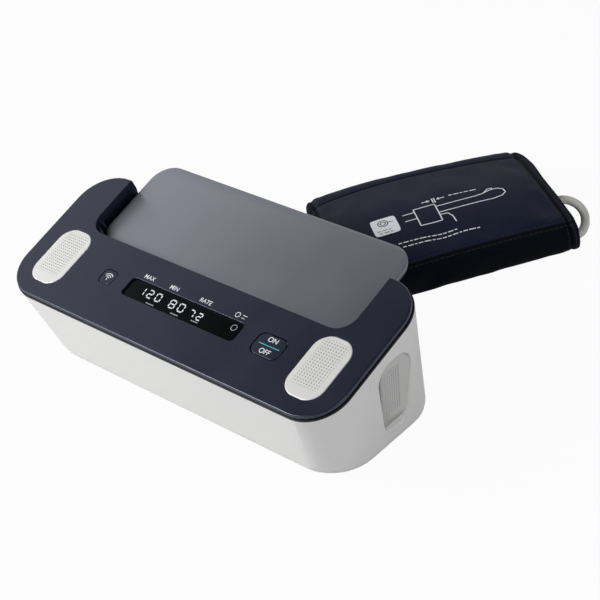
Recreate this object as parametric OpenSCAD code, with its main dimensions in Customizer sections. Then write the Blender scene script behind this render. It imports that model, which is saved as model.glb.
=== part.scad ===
// Desktop blood pressure monitor with its folded arm cuff, air tube and plug.
// Millimetres. X to the right, Y to the rear, Z up. The origin is the middle of the
// monitor's footprint, on the surface that it stands on.

/* [Body] */
// Width of the monitor over its top rim
body_w = 270; // [262:1:285]
// Width of the footprint
base_w = 252; // [246:1:256]
// Depth of the footprint
base_d = 87.6; // [84:0.2:90]
// Vertical corner radius of the footprint
base_corner_r = 26.8; // [24:0.2:30]
// Height of the white housing's rim at its front edge
front_h = 53.3; // [51:0.1:58]
// Tilt of the sloping top, in degrees
tilt = 16.2; // [15:0.1:18]
// Length of the sloping top from front to rear
slope_len = 99.4; // [97:0.1:101]
// How far the front rim leans out past the footprint
front_lean = 13.5; // [12:0.1:15]
// Corner radius of the sloping top
corner_r = 25; // [22:0.5:28]
// Wall of the white housing
wall = 2.4; // [2:0.1:2.8]
// Floor of the white housing
floor_t = 2.7; // [2.5:0.1:3.2]
// Radius of the soft lower edge
soft_edge = 5; // [3:0.5:6]

/* [Top cover] */
// Height of the dark lip above the white rim
lip_t = 1.5; // [1.2:0.1:1.8]
// Dark shadow line between lip and cover
groove_t = 0.4; // [0.3:0.05:0.6]
// Thickness of the cover plate
plate_t = 2.3; // [2.2:0.1:2.8]
// Step of the cover plate in from the lip
plate_inset = 0.6; // [0.4:0.1:1]
// Half width of the recess between the two arms
notch_hw = 107.1; // [104:0.1:109]
// Front edge of the recess, along the slope
notch_s = 56.8; // [56:0.1:59]
// Corner radius of the recess
notch_r = 12; // [8:0.5:13]
// Wall of the recess
notch_wall = 2.2; // [1.8:0.1:2.4]

/* [Stand panel] */
// Gap between the panel and the recess round it
panel_gap = 2.8; // [2.4:0.1:3.2]
// Rear edge of the panel, along the slope
panel_end = 123.7; // [112:0.1:126]
// Rear corner radius of the panel
panel_corner_r = 15; // [10:0.5:20]
// Top face of the panel above the lip plane
panel_n = -4.1; // [-5:0.1:-3.6]
// Thickness of the grey plate
panel_t = 2; // [1.6:0.1:2.4]
// Thickness of the dark backing plate
backing_t = 2.2; // [1.8:0.1:2.6]
// Radius of the hinge pins
pin_r = 1.5; // [1.2:0.1:1.7]
// Largest opening of the panel, in degrees
panel_open = 60; // [30:5:60]

/* [Display] */
// Width of the display opening
display_w = 94.4; // [88:0.2:97]
// Height of the display opening
display_h = 13.5; // [12:0.1:15]
// Middle line of display and buttons, along the slope
row_s = 32; // [31:0.1:33]
// Depth of the window's face below the cover
window_drop = 1.3; // [1:0.1:1.8]

/* [Buttons] */
// Width of the start button's opening
start_w = 22; // [19:0.5:23]
// Height of the start button's opening
start_h = 15.2; // [13:0.2:16]
// Place of the start button across the cover
start_x = 70.5; // [68:0.5:72]
// Width of the connection button's opening
link_w = 11.5; // [10:0.5:12.5]
// Height of the connection button's opening
link_h = 10.3; // [9:0.1:11]
// Place of the connection button across the cover
link_x = -64; // [-66:0.5:-62]
// Gap round a button
button_gap = 0.3; // [0.2:0.05:0.4]
// Travel of a button
button_travel = 0.8; // [0.5:0.1:1]

/* [Electrodes] */
// Width of a top electrode
pad_w = 26.5; // [24:0.5:28]
// Length of a top electrode
pad_len = 41.5; // [38:0.5:44]
// Corner radius of a top electrode
pad_r = 10.5; // [8:0.5:12]
// Distance of a top electrode's middle from the side of the rim
pad_in = 27.1; // [25:0.1:29]
// Thickness of an electrode plate
pad_t = 1.2; // [1:0.1:1.4]
// How far a top electrode stands proud
pad_proud = 0.4; // [0.2:0.1:0.6]
// Height of a side electrode
side_len = 47.8; // [44:0.2:50]
// Width of a side electrode at its top
side_w = 25; // [23:0.5:26]
// Width of a side electrode at its foot
side_foot_w = 20; // [18:0.5:22]
// Place of the side electrodes, front to rear
side_y = 3; // [1:0.5:5]
// Height of a side electrode's middle, along the wall
side_z = 37.2; // [35:0.1:39]
// Radius of the side electrode's hollow
dish_r = 24; // [22:0.5:30]

/* [Underside] */
// Radius of a foot
foot_r = 6.5; // [5:0.5:8]
// How far the feet stand below the housing
foot_drop = 0.3; // [0.2:0.05:0.3]
// Diameter of an AA battery
cell_d = 14.5; // [13.5:0.1:14.6]
// Length of an AA battery
cell_len = 50.5; // [49:0.1:51]
// Thickness of the battery cover
door_t = 2; // [1.8:0.1:2.2]

/* [Sockets] */
// Radius of the mains adapter socket's bore
dc_r = 2.75; // [2.5:0.05:3]
// Length of the mains adapter socket's bore
dc_len = 9; // [8:0.5:10]
// Radius of the air socket's bore
air_r = 3.1; // [2.8:0.05:3.4]
// Length of the air plug inside its socket
plug_len = 10; // [8:0.5:11]
// Running gap of the plug and the pins
fit_gap = 0.06; // [0.03:0.01:0.08]

/* [Cuff] */
// Width of the arm band, which is the length of the folded cuff
cuff_len = 146; // [140:1:150]
// Depth of the folded cuff at its right end
cuff_d = 96; // [90:1:100]
// How much deeper the folded cuff is at its left end
cuff_flare = 12; // [6:1:14]
// Thickness of the folded cuff
cuff_t = 26; // [24:0.5:28]
// How much longer the folded cuff is along its fold than along its far edge
cuff_skew = 6; // [2:0.5:8]
// Crown of the folded cuff's top
cuff_crown = 2.2; // [1:0.2:3]
// Turn of the folded cuff on the table, in degrees
cuff_turn = 56; // [54:0.5:58]
// Diameter of the air tube
tube_d = 5.6; // [5.2:0.1:5.8]

/* [Hidden] */
$fn = 64;
hull_fn = 40;
eps = 0.01;
far = 400;

// Colours
white = "#eceded";
navy = "#2b2d38";
grey = "#6c6f77";
silver = "#d6d7d8";
black = "#0b0c10";
board_green = "#1f5a3c";
steel = "#b9bcc0";
rubber_grey = "#3a3b3e";
tube_grey = "#b9b8b2";
cloth = "#1b1e2b";

// Levels above the lip plane
plate_n = lip_t + groove_t;
cover_n = plate_n + plate_t;
backing_n = panel_n - panel_t;
under_n = backing_n - backing_t;
bumper_gap = 0.5;
deck_n = under_n - bumper_gap;
deck_t = 1.8;
trough_drop = 9.7;
trough_n = deck_n - trough_drop;

// Lean of the walls, as a slope per millimetre of height
front_y = -base_d / 2 - front_lean;
rim_rear_y = front_y + slope_len * cos(tilt);
rim_rear_z = front_h + slope_len * sin(tilt);
side_lean = (body_w - base_w) / 2 / (front_h + slope_len / 2 * sin(tilt));
front_slope = front_lean / front_h;
rear_slope = (base_d / 2 - rim_rear_y) / rim_rear_z;
rear_angle = atan(rear_slope);
side_angle = atan(side_lean);
floor_z = foot_drop + floor_t;

function front_at(z) = -base_d / 2 - front_slope * z;
function rear_at(z) = base_d / 2 - rear_slope * z;

// Hinge of the stand panel
hinge_s = notch_s + 12.7;
lug_r = 3;
hinge_n = backing_n - lug_r - 0.1;
trough_s = hinge_s + lug_r + 0.5;
lug_x = 93;
lug_w = 10;
pin_end = 110.5;
hinge_boss_r = 3.6;
hinge_boss_w = 2.8;

// Inside the sloping top
window_t = 2.6;
window_lap = 1.5;
window_top_n = cover_n - window_drop;
window_foot_n = window_top_n - window_t;
board_t = 1.6;
board_n = -3.8;
board_hw = 90;
board_s = [12, 52];
post_x = 86;
post_s = [17, 47];
post_r = 3;
screw_r = 1;
pad_x = body_w / 2 - pad_in;
flange_lap = 1;
flange_t = 0.9;
skin_gap = 0.1;
nub_drop = 1.5;
switch_size = 6;
switch_t = 1.3;
stud_x = pad_x - 7.9;
stud_r = 2;

// Half width of the housing halfway up, which the inner pieces keep to
mid_hw = (body_w + base_w) / 4;

// Housing screws
front_screw = [mid_hw - 18.5, 13.8 - base_d / 2];
rear_screw = [mid_hw - 18.5, (3 * rim_rear_y + base_d / 2) / 4 - 11.6];
boss_z = 30;
boss_r = 4.6;
well_r = 3.3;
well_z = 26.5;
case_screw_r = 1.45;
case_head_r = 2.8;

// Battery bay, two by two cells that lie across
bay_clear = 0.4;
cell_x = cell_len / 2 + 0.35;
cell_y = cell_d / 2 + 0.35;
cell_z = floor_z + 0.35 + cell_d / 2;
contact_room = 5.9;
bay_hw = cell_len + 0.7 + contact_room;
bay_hd = cell_d + 0.7 + bay_clear;
bay_roof = cell_z + cell_d / 2 + bay_clear + 0.8;
bay_wall = 2;
door_hw = bay_hw + 1.3;
door_hd = bay_hd + 2.9;
door_gap = 0.3;
door_pin_r = 0.7;
door_y = -door_hd + 1;
door_z = foot_drop + 0.1 + door_t / 2;
foot_x = base_w / 2 - 34;
foot_y = base_d / 2 - 17.8;
foot_t = 1.8;

// Sockets on the rear wall
dc_x = 36.5 - mid_hw;
dc_z = 22;
socket_pitch = 22;
air_x = dc_x + socket_pitch;
air_z = 20;
pad_y = rear_at(air_z) + 1;
air_flange_r = 7;
air_barrel_r = 5.5;
air_inner = 14;
air_nipple = 3.5;

// Pump, valve and hoses
pump_y = -5;
motor_r = 12;
motor_len = 26;
head_r = 13.5;
head_len = 19.8;
head_x = [mid_hw - 38.3, mid_hw - 38.3 + head_len];
motor_x = [head_x[0] - 0.2 - motor_len, head_x[0] - 0.2];
pump_z = floor_z + head_r + 0.3;
valve_at = [air_x - 6, -8];
valve_r = 8;
valve_h = 20;
sensor_at = [-40, 30];
sensor_size = 12;
sensor_t = 5;
nipple_r = 1.6;
hose_r = 2.6;
branch_r = 2.3;
elbow_wall = 0.6;
hose_z = 38;

// Cuff, in its own frame: u along the arm, v away from the rounded fold
cuff_at = [96, 195];
cuff_right = 5;
cuff_left = cuff_right - cuff_len;
fold_v = 8;
fold_reach = 12;
slot_z = 13.6;
slot_t = 1.6;
slot_v = 18;
port_v = 27;
port_z = 20;
port_r = 3.4;
channel_v = 4;
channel_z = 6.4;
channel_r = tube_d / 2 + 0.3;

// Coil of the air tube, and the tie round it
coil_outer = 36.2;
coil_inner = 30.4;
coil_at = [air_x - coil_outer, 95];
coil_turns = 1.75;
coil_z = 2.85;
coil_rise = 6.15;
coil_rings = 42;
coil_lead = tube_d;
tie_t = 0.8;
tie_w = 8;
tie_gap = 0.5;
tie_lift = tie_t + tie_gap;

// Route of the air tube: hand-chosen points in the model's frame, from the cuff's port to
// the coil, and from the coil to the plug
cuff_run = [[74.7, 211.8, 20], [76.7, 214.8, 20], [78.6, 217.6, 20], [82.2, 221.3, 19.5],
    [86.7, 223.5, 18], [91.4, 223.8, 15.8], [95.7, 222.2, 13.2], [98.9, 218.9, 10.5],
    [100.7, 214.5, 8], [100.8, 210.1, 6.7], [99.1, 206.8, 6.4], [92.7, 197.3, 6.4],
    [84.9, 185.7, 6.4], [75.9, 172.4, 6.4], [67, 159.1, 6.4], [58, 145.8, 6.4],
    [49.1, 132.6, 6.4], [40.1, 119.3, 6.4], [31.2, 106, 6.4], [22.2, 92.8, 6.4],
    [15, 82, 6.4], [11, 76.2, 6], [6, 70, 4.9], [-1, 64.5, 3.7], [-10, 60.6, 3],
    [-21, 59.1, 2.8], [-34, 58.8, 2.8], [-48, 58.8, 2.8], [-62, 58.8, 2.8], [-76, 58.8, 2.8],
    [air_x - 18, 58.8, 3.1], [air_x - coil_outer + coil_lead, 58.8, coil_z + tie_lift / 2]];
plug_run = [[air_x, 89.4, 9], [air_x, 84.5, 9.6], [air_x, 80, 11.4], [air_x, 76, 14.3],
    [air_x, 72, 17.3], [air_x, 68.6, 19.3], [air_x, 65.2, 20], [air_x, 57, 20]];

// ---- Shared shapes ----

module rounded_rect(w, d, r) {
    square([w - 2 * r, d], center = true);
    square([w, d - 2 * r], center = true);
    for (x = [-1, 1], y = [-1, 1])
        translate([x * (w / 2 - r), y * (d / 2 - r)]) circle(r);
}

// Places its children on the lip plane: x across, y up the slope, z out of it
module on_slope() {
    translate([0, front_y, front_h]) rotate([tilt, 0, 0]) children();
}

// A flat layer of the sloping top, from one level to another
module layer(n0, n1) {
    translate([0, 0, n0]) linear_extrude(n1 - n0) children();
}

module both_sides() {
    for (side = [0, 1]) mirror([side, 0, 0]) children();
}

module rim_outline(inset) {
    translate([0, slope_len / 2])
        rounded_rect(body_w - 2 * inset, slope_len - 2 * inset, corner_r - inset);
}

// The recess between the arms, open at the rear
module notch_outline(grow, end = slope_len + far / 4) {
    r = notch_r + grow;
    hw = notch_hw + grow;
    translate([-hw + r, notch_s - grow]) square([2 * (hw - r), end - notch_s + grow]);
    translate([-hw, notch_s - grow + r]) square([2 * hw, end - notch_s + grow - r]);
    for (x = [-1, 1]) translate([x * (hw - r), notch_s - grow + r]) circle(r);
}

// Outline of the housing at a height
module body_outline(z, inset) {
    translate([0, (front_at(z) + rear_at(z)) / 2])
        rounded_rect(base_w + 2 * side_lean * z - 2 * inset,
            rear_at(z) - front_at(z) - 2 * inset, base_corner_r - inset);
}

module body_slab(z, inset) {
    translate([0, 0, z]) linear_extrude(eps) body_outline(z, inset);
}

module rim_slab(inset) {
    on_slope() layer(-eps, 0) rim_outline(inset);
}

// A rod between two points
module rod(p, q, r) {
    d = q - p;
    translate(p) rotate([0, acos(d[2] / norm(d)), atan2(d[1], d[0])]) cylinder(h = norm(d), r = r);
}

// Everything behind the housing's rear face
module behind_rear() {
    translate([0, base_d / 2, 0]) rotate([rear_angle, 0, 0])
        translate([-far / 2, 0, -far / 4]) cube([far, far / 4, far]);
}

// ---- Side electrodes: x out of the wall, z up it ----

module on_side_wall() {
    translate([base_w / 2, side_y, 0]) rotate([0, side_angle, 0])
        translate([0, 0, side_z]) children();
}

// Upright outline with round ends, wider at its top
function arc(cx, cy, r, a0, a1, steps) =
    [for (k = [0:steps]) let (a = a0 + (a1 - a0) * k / steps) [cx + r * cos(a), cy + r * sin(a)]];

function side_points(grow) =
    let (r1 = side_w * 0.4 + grow, r2 = side_foot_w * 0.4 + grow,
        x1 = side_w / 2 + grow - r1, x2 = side_foot_w / 2 + grow - r2,
        y1 = side_len / 2 + grow - r1, y2 = side_len / 2 + grow - r2,
        lean = atan((side_w - side_foot_w) / 2 / side_len))
    concat(arc(x1, y1, r1, -lean, 90, 10), arc(-x1, y1, r1, 90, 180 + lean, 10),
        arc(-x2, -y2, r2, 180 + lean, 270, 10), arc(x2, -y2, r2, 270, 360 - lean, 10));

module side_prism(x0, x1, grow) {
    translate([x0, 0, 0]) rotate([90, 0, 90]) linear_extrude(x1 - x0) polygon(side_points(grow));
}

dish_edge = 0.4;
dish_x = sqrt(pow(dish_r, 2) - pow(side_w / 2, 2)) - dish_edge;
side_cup_t = 1.6;
side_rim = 1.8;
side_gap = 0.2;

module dish_cylinder(r) {
    translate([dish_x, 0, -side_len]) cylinder(h = 2 * side_len, r = r, $fn = 96);
}

module side_electrode() {
    on_side_wall() {
        intersection() {
            side_prism(-side_len, side_rim, 0);
            difference() {
                dish_cylinder(dish_r + pad_t);
                dish_cylinder(dish_r);
            }
        }
        // Contact stud through the cup
        translate([dish_x - dish_r - pad_t - 4, 0, 0]) rotate([0, 90, 0])
            cylinder(h = 4.6, r = stud_r);
    }
}

module side_electrode_right() {
    color(silver) side_electrode();
}

module side_electrode_left() {
    color(silver) mirror([1, 0, 0]) side_electrode();
}

// Solid behind a side electrode, joined to the housing's wall
module side_cup() {
    on_side_wall() side_prism(dish_x - dish_r - pad_t - side_gap - side_cup_t, -0.6, side_cup_t);
}

module side_cup_hollow() {
    on_side_wall() {
        intersection() {
            side_prism(-side_len, side_len / 4, side_gap);
            dish_cylinder(dish_r + pad_t + 0.1);
        }
        hull() {
            side_prism(-side_rim, -side_rim + eps, side_gap);
            side_prism(side_gap, side_gap + 1, side_rim);
        }
        translate([dish_x - dish_r - pad_t - 6, 0, 0]) rotate([0, 90, 0])
            cylinder(h = 8, r = stud_r + 0.3);
    }
}

// ---- White lower housing ----

module housing_block() {
    intersection() {
        hull($fn = hull_fn) {
            body_slab(0, 0);
            rim_slab(0);
        }
        hull($fn = hull_fn) {
            body_slab(foot_drop, soft_edge);
            body_slab(foot_drop + soft_edge * 0.28, soft_edge * 0.46);
            body_slab(foot_drop + soft_edge * 0.68, soft_edge * 0.14);
            body_slab(foot_drop + soft_edge * 1.3, 0);
            body_slab(front_h * 2, -side_lean * front_h);
        }
    }
}

module housing_hollow() {
    hull($fn = hull_fn) {
        body_slab(floor_z, wall + soft_edge * 0.5);
        body_slab(floor_z + soft_edge, wall);
        on_slope() layer(-eps, eps) rim_outline(wall);
    }
}

module screw_boss(at) {
    translate([at[0], at[1], foot_drop]) cylinder(h = boss_z - foot_drop, r = boss_r);
}

module screw_well(at) {
    translate([at[0], at[1], -1]) cylinder(h = well_z + 1, r = well_r);
    translate([at[0], at[1], 0]) cylinder(h = boss_z + 1, r = case_screw_r + 0.2);
}

module battery_bay() {
    translate([-bay_hw - bay_wall, -door_hd - 1.4, foot_drop])
        cube([2 * (bay_hw + bay_wall), 2 * (door_hd + 1.4), bay_roof + bay_wall - foot_drop]);
}

module battery_bay_hollow() {
    translate([-bay_hw, -bay_hd, -1]) cube([2 * bay_hw, 2 * bay_hd, bay_roof + 1]);
    door_recess = door_z + door_t / 2 + 0.1;
    translate([-door_hw - door_gap, -door_hd - door_gap, -1])
        cube([2 * (door_hw + door_gap), 2 * (door_hd + door_gap), door_recess + 1]);
    translate([-door_hw - 1.6, door_y, door_z]) rotate([0, 90, 0])
        cylinder(h = 2 * (door_hw + 1.6), r = door_pin_r + fit_gap, $fn = 24);
}

// Flat round pads that carry the sockets on the leaning rear wall
module socket_pad(x, z, r) {
    translate([x, pad_y - wall - 1.6, z]) rotate([-90, 0, 0]) cylinder(h = wall + 1.6, r = r);
}

module socket_hole(x, z, r) {
    translate([x, pad_y - 12, z]) rotate([-90, 0, 0]) cylinder(h = 20, r = r);
}

module pump_saddles() {
    for (x = [motor_x[0] + 2, motor_x[1] - 4])
        translate([x, pump_y - motor_r, foot_drop + 1]) cube([2, 2 * motor_r, 5]);
}

power_x = [dc_x - 12, dc_x + 14];
power_y = [pad_y - 28.4, pad_y - 4.9];
power_post_x = [dc_x - 9, dc_x + 9];
power_post_y = power_y[0] + 7;
power_z = 15;

module lower_housing() {
    color(white) difference() {
        union() {
            difference() {
                housing_block();
                housing_hollow();
            }
            both_sides() side_cup();
            intersection() {
                union() {
                    both_sides() screw_boss(front_screw);
                    both_sides() screw_boss(rear_screw);
                    battery_bay();
                    for (x = power_post_x)
                        translate([x, power_post_y, 1]) cylinder(h = power_z - 1, r = post_r);
                }
                housing_block();
            }
            socket_pad(air_x, air_z, air_flange_r + 1.6);
            socket_pad(dc_x, dc_z, 6.5);
        }
        both_sides() side_cup_hollow();
        both_sides() screw_well(front_screw);
        both_sides() screw_well(rear_screw);
        battery_bay_hollow();
        socket_hole(air_x, air_z, air_barrel_r + 0.1);
        socket_hole(dc_x, dc_z, dc_flange_r + 0.1);
        for (x = power_post_x)
            translate([x, power_post_y, power_z - 8]) cylinder(h = 9, r = screw_r);
        for (x = [-foot_x, foot_x], y = [-foot_y, foot_y])
            translate([x, y, -1]) cylinder(h = foot_t + 1, r = foot_r + 0.2);
        // Room for the cover's recess between the arms
        on_slope() layer(deck_n - deck_t - 0.1, far / 8) notch_outline(notch_wall + 0.2);
    }
}

// ---- Dark lip and top cover ----

module lip_frame() {
    color(navy) on_slope() layer(0, lip_t) difference() {
        rim_outline(0);
        rim_outline(3);
        notch_outline(notch_wall + 0.1);
    }
}

module button_hole(x, w, h, r) {
    on_slope() translate([x, row_s]) layer(plate_n - 1, cover_n + 1) rounded_rect(w, h, r);
}

start_r = 5;
link_r = 3;
display_r = 3;
plate_edge = 0.8;

module cover_plate() {
    on_slope() hull($fn = hull_fn) {
        layer(plate_n, cover_n - plate_edge) rim_outline(plate_inset);
        layer(cover_n - plate_edge * 0.3, cover_n - plate_edge * 0.3 + eps)
            rim_outline(plate_inset + plate_edge * 0.3);
        layer(cover_n - eps, cover_n) rim_outline(plate_inset + plate_edge);
    }
}

module cover_boss(at) {
    difference() {
        translate([at[0], at[1], boss_z + 0.1]) cylinder(h = far / 8 + boss_z, r = 3.6);
        translate([at[0], at[1], boss_z - 1]) cylinder(h = 11, r = case_screw_r + 0.02);
        on_slope() layer(plate_n + 0.4, far / 2) square(far, center = true);
    }
}

module top_cover() {
    color(navy) difference() {
        union() {
            difference() {
                union() {
                    cover_plate();
                    on_slope() {
                        // Ring that sits on the lip, and skirt inside the housing
                        layer(lip_t, plate_n + eps) difference() {
                            rim_outline(2);
                            rim_outline(5);
                        }
                        layer(-2.5, plate_n + eps) difference() {
                            rim_outline(3.2);
                            rim_outline(5);
                        }
                        // Walls of the recess
                        layer(deck_n - deck_t, cover_n - plate_edge) intersection() {
                            notch_outline(notch_wall);
                            rim_outline(plate_inset);
                        }
                        layer(trough_n - deck_t, deck_n) intersection() {
                            notch_outline(notch_wall);
                            translate([0, trough_s / 2]) square([far, trough_s + 2 * notch_wall], center = true);
                        }
                    }
                }
                on_slope() {
                    layer(deck_n, far / 8) notch_outline(0);
                    layer(trough_n, far / 8) intersection() {
                        notch_outline(0);
                        translate([0, trough_s / 2]) square([far, trough_s], center = true);
                    }
                }
                behind_rear();
            }
            // Bosses round the hinge pins
            on_slope() both_sides() translate([notch_hw + eps, hinge_s, hinge_n])
                rotate([0, 90, 0]) cylinder(h = notch_wall + hinge_boss_w, r = hinge_boss_r);
            on_slope() for (x = [-post_x, post_x], s = post_s)
                translate([x, s]) layer(board_n, plate_n + eps) circle(post_r);
            both_sides() cover_boss(front_screw);
            both_sides() cover_boss(rear_screw);
        }
        // Hinge bores
        on_slope() translate([-far / 2, hinge_s, hinge_n]) rotate([0, 90, 0])
            cylinder(h = far, r = pin_r + fit_gap);
        // Openings for window, buttons and electrodes
        on_slope() translate([0, row_s]) layer(plate_n - 1, cover_n + 1)
            rounded_rect(display_w, display_h, display_r);
        button_hole(start_x, start_w, start_h, start_r);
        button_hole(link_x, link_w, link_h, link_r);
        on_slope() both_sides() translate([pad_x, row_s]) {
            layer(cover_n - pad_t + pad_proud, cover_n + 1)
                rounded_rect(pad_w + 0.3, pad_len + 0.3, pad_r + 0.15);
            translate([stud_x - pad_x, 0]) layer(-1, cover_n + 1) circle(stud_r + 0.3);
        }
        on_slope() for (x = [-post_x, post_x], s = post_s)
            translate([x, s]) layer(board_n - 1, plate_n - 1) circle(screw_r);
    }
}

module display_window() {
    color(black) on_slope() translate([0, row_s]) {
        layer(window_foot_n, window_top_n) rounded_rect(display_w - 0.3, display_h - 0.3, display_r - 0.15);
        layer(window_foot_n, plate_n - skin_gap)
            rounded_rect(display_w + 2 * window_lap, display_h + 2 * window_lap, display_r + window_lap);
    }
}

module display_module() {
    color("#30333a") on_slope() translate([0, row_s])
        layer(board_n + 0.1, window_foot_n - 0.1) square([display_w + 2, display_h + 6], center = true);
}

module button(x, w, h, r) {
    flange_n = plate_n - skin_gap - flange_t;
    on_slope() translate([x, row_s]) {
        layer(flange_n, cover_n - skin_gap)
            rounded_rect(w - 2 * button_gap, h - 2 * button_gap, r - button_gap);
        layer(flange_n, flange_n + flange_t) rounded_rect(w + 2 * flange_lap, h + 2 * flange_lap, r + flange_lap);
        layer(flange_n - nub_drop, flange_n + eps) circle(2.5);
    }
}

module start_button() {
    color(navy) button(start_x, start_w, start_h, start_r);
}

module connection_button() {
    color(navy) button(link_x, link_w, link_h, link_r);
}

module top_electrode() {
    top_n = cover_n + pad_proud;
    on_slope() translate([pad_x, row_s]) {
        layer(top_n - pad_t, top_n - pad_proud) rounded_rect(pad_w, pad_len, pad_r);
        hull($fn = hull_fn) {
            layer(top_n - pad_proud, top_n - pad_proud + eps) rounded_rect(pad_w, pad_len, pad_r);
            layer(top_n - eps, top_n)
                rounded_rect(pad_w - 2 * pad_proud, pad_len - 2 * pad_proud, pad_r - pad_proud);
        }
        translate([stud_x - pad_x, 0]) layer(plate_n - 1, top_n - pad_t + eps) circle(stud_r);
    }
}

module top_electrode_right() {
    color(silver) top_electrode();
}

module top_electrode_left() {
    color(silver) mirror([1, 0, 0]) top_electrode();
}

// ---- Stand panel ----

panel_hw = notch_hw - panel_gap;
panel_front = notch_s + panel_gap;

module panel_outline(inset) {
    r1 = notch_r - panel_gap - inset;
    r2 = panel_corner_r - inset;
    hw = panel_hw - inset;
    s0 = panel_front + inset;
    s1 = panel_end - inset;
    translate([-hw + r1, s0]) square([2 * (hw - r1), r1]);
    translate([-hw, s0 + r1]) square([2 * hw, s1 - r2 - s0 - r1]);
    translate([-hw + r2, s1 - r2]) square([2 * (hw - r2), r2]);
    for (x = [-1, 1]) {
        translate([x * (hw - r1), s0 + r1]) circle(r1);
        translate([x * (hw - r2), s1 - r2]) circle(r2);
    }
}

panel_edge = 0.5;

module stand_panel() {
    color(grey) on_slope() {
        layer(backing_n, panel_n - panel_edge) panel_outline(0);
        layer(panel_n - panel_edge - eps, panel_n) panel_outline(panel_edge);
    }
}

backing_inset = 0.9;

module panel_backing() {
    color(navy) on_slope() difference() {
        union() {
            layer(under_n, backing_n) panel_outline(backing_inset);
            both_sides() {
                translate([lug_x, hinge_s, hinge_n]) rotate([0, 90, 0]) cylinder(h = lug_w, r = lug_r);
                translate([lug_x, hinge_s - lug_r, hinge_n]) cube([lug_w, 2 * lug_r, under_n - hinge_n + eps]);
            }
        }
        translate([-far / 2, hinge_s, hinge_n]) rotate([0, 90, 0]) cylinder(h = far, r = pin_r + 0.02);
    }
}

module hinge_pins() {
    color(steel) on_slope() both_sides() translate([lug_x + 1, hinge_s, hinge_n])
        rotate([0, 90, 0]) cylinder(h = pin_end - lug_x - 1, r = pin_r);
}

bumper_r = 4;
bumper_at = [85, 90];

module panel_bumpers() {
    color(rubber_grey) on_slope() both_sides() translate(bumper_at)
        layer(deck_n, under_n - 0.1) circle(bumper_r);
}

// ---- Boards and what they carry ----

module main_board() {
    color(board_green) on_slope() layer(board_n - board_t, board_n) difference() {
        translate([0, (board_s[0] + board_s[1]) / 2])
            square([2 * board_hw, board_s[1] - board_s[0]], center = true);
        for (x = [-post_x, post_x], s = post_s) translate([x, s]) circle(screw_r + 0.3);
    }
}

module button_switches() {
    plunger_n = plate_n - skin_gap - flange_t - nub_drop - button_travel - 0.2;
    color(steel) on_slope() for (x = [start_x, link_x]) translate([x, row_s]) {
        layer(board_n, board_n + switch_t) square(switch_size, center = true);
        layer(board_n + switch_t - eps, plunger_n) circle(1.7);
    }
}

module pressure_sensor() {
    top_n = board_n - board_t;
    color("#26272b") on_slope() translate(sensor_at) {
        layer(top_n - sensor_t, top_n) square(sensor_size, center = true);
        layer(top_n - sensor_t - 5, top_n - sensor_t + eps) circle(nipple_r);
    }
}

module electrode_leads() {
    leaf_t = 0.4;
    leaf_w = 4;
    leaf_n = plate_n - 1 - leaf_t - 0.1;
    foot_end = board_hw - 6;
    leaf_foot = board_hw + 0.5;
    leaf_end = stud_x + 3;
    leaf_knee = stud_x - 3;
    color(steel) {
        on_slope() both_sides() translate([0, row_s + leaf_w / 2]) rotate([90, 0, 0])
            linear_extrude(leaf_w) polygon([[foot_end, board_n], [leaf_foot, board_n],
                [leaf_knee, leaf_n], [leaf_end, leaf_n], [leaf_end, leaf_n + leaf_t],
                [leaf_knee - 0.2, leaf_n + leaf_t], [leaf_foot - 0.3, board_n + leaf_t],
                [foot_end, board_n + leaf_t]]);
        both_sides() side_lead();
    }
}

// Wire from a side electrode's stud up to the board's edge
module side_lead() {
    wire_r = 0.7;
    stud = side_stud();
    bend = [board_hw + 2, -12, 46];
    foot = [board_hw + wire_r + 0.1, bend[1] - 4, 55];
    rod(stud, bend, wire_r);
    translate(bend) rotate([0, 90, 0]) cylinder(h = 2.4, r = 1.1, center = true);
    rod(bend, foot, wire_r);
}

// The free end of the side electrode's stud
function side_stud() =
    let (x = dish_x - dish_r - pad_t - 4.9)
    [base_w / 2 + x * cos(side_angle) + side_z * sin(side_angle), side_y,
        side_z * cos(side_angle) - x * sin(side_angle)];

module board_screw(len) {
    cylinder(h = 1.6, r = 2.2);
    translate([0, 0, 1.6 - eps]) cylinder(h = len, r = screw_r - 0.02);
}

module board_screws() {
    color(steel) {
        on_slope() for (x = [-post_x, post_x], s = post_s)
            translate([x, s, board_n - board_t - 1.6]) board_screw(5);
        for (x = power_post_x) translate([x, power_post_y, power_z + board_t + 1.6])
            mirror([0, 0, 1]) board_screw(7);
    }
}

module power_board() {
    color(board_green) difference() {
        translate([power_x[0], power_y[0], power_z])
            cube([power_x[1] - power_x[0], power_y[1] - power_y[0], board_t]);
        for (x = power_post_x)
            translate([x, power_post_y, power_z - 1]) cylinder(h = board_t + 2, r = screw_r + 0.3);
    }
}

dc_flange_r = 5;
dc_body_w = 10;
dc_body_len = 12;

module dc_jack() {
    mouth_y = pad_y + 0.4;
    body_y = pad_y - wall - 1.8 - dc_body_len;
    color(black) difference() {
        union() {
            translate([dc_x - dc_body_w / 2, body_y, power_z + board_t])
                cube([dc_body_w, dc_body_len, 2 * (dc_z - power_z - board_t)]);
            translate([dc_x, body_y + dc_body_len - eps, dc_z]) rotate([-90, 0, 0])
                cylinder(h = mouth_y - body_y - dc_body_len, r = dc_flange_r);
        }
        translate([dc_x, mouth_y - dc_len, dc_z]) rotate([-90, 0, 0]) cylinder(h = dc_len + 1, r = dc_r);
    }
    color(steel) translate([dc_x, mouth_y - dc_len - 1, dc_z]) rotate([-90, 0, 0])
        cylinder(h = dc_len, r = 0.65, $fn = 24);
}

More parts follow.
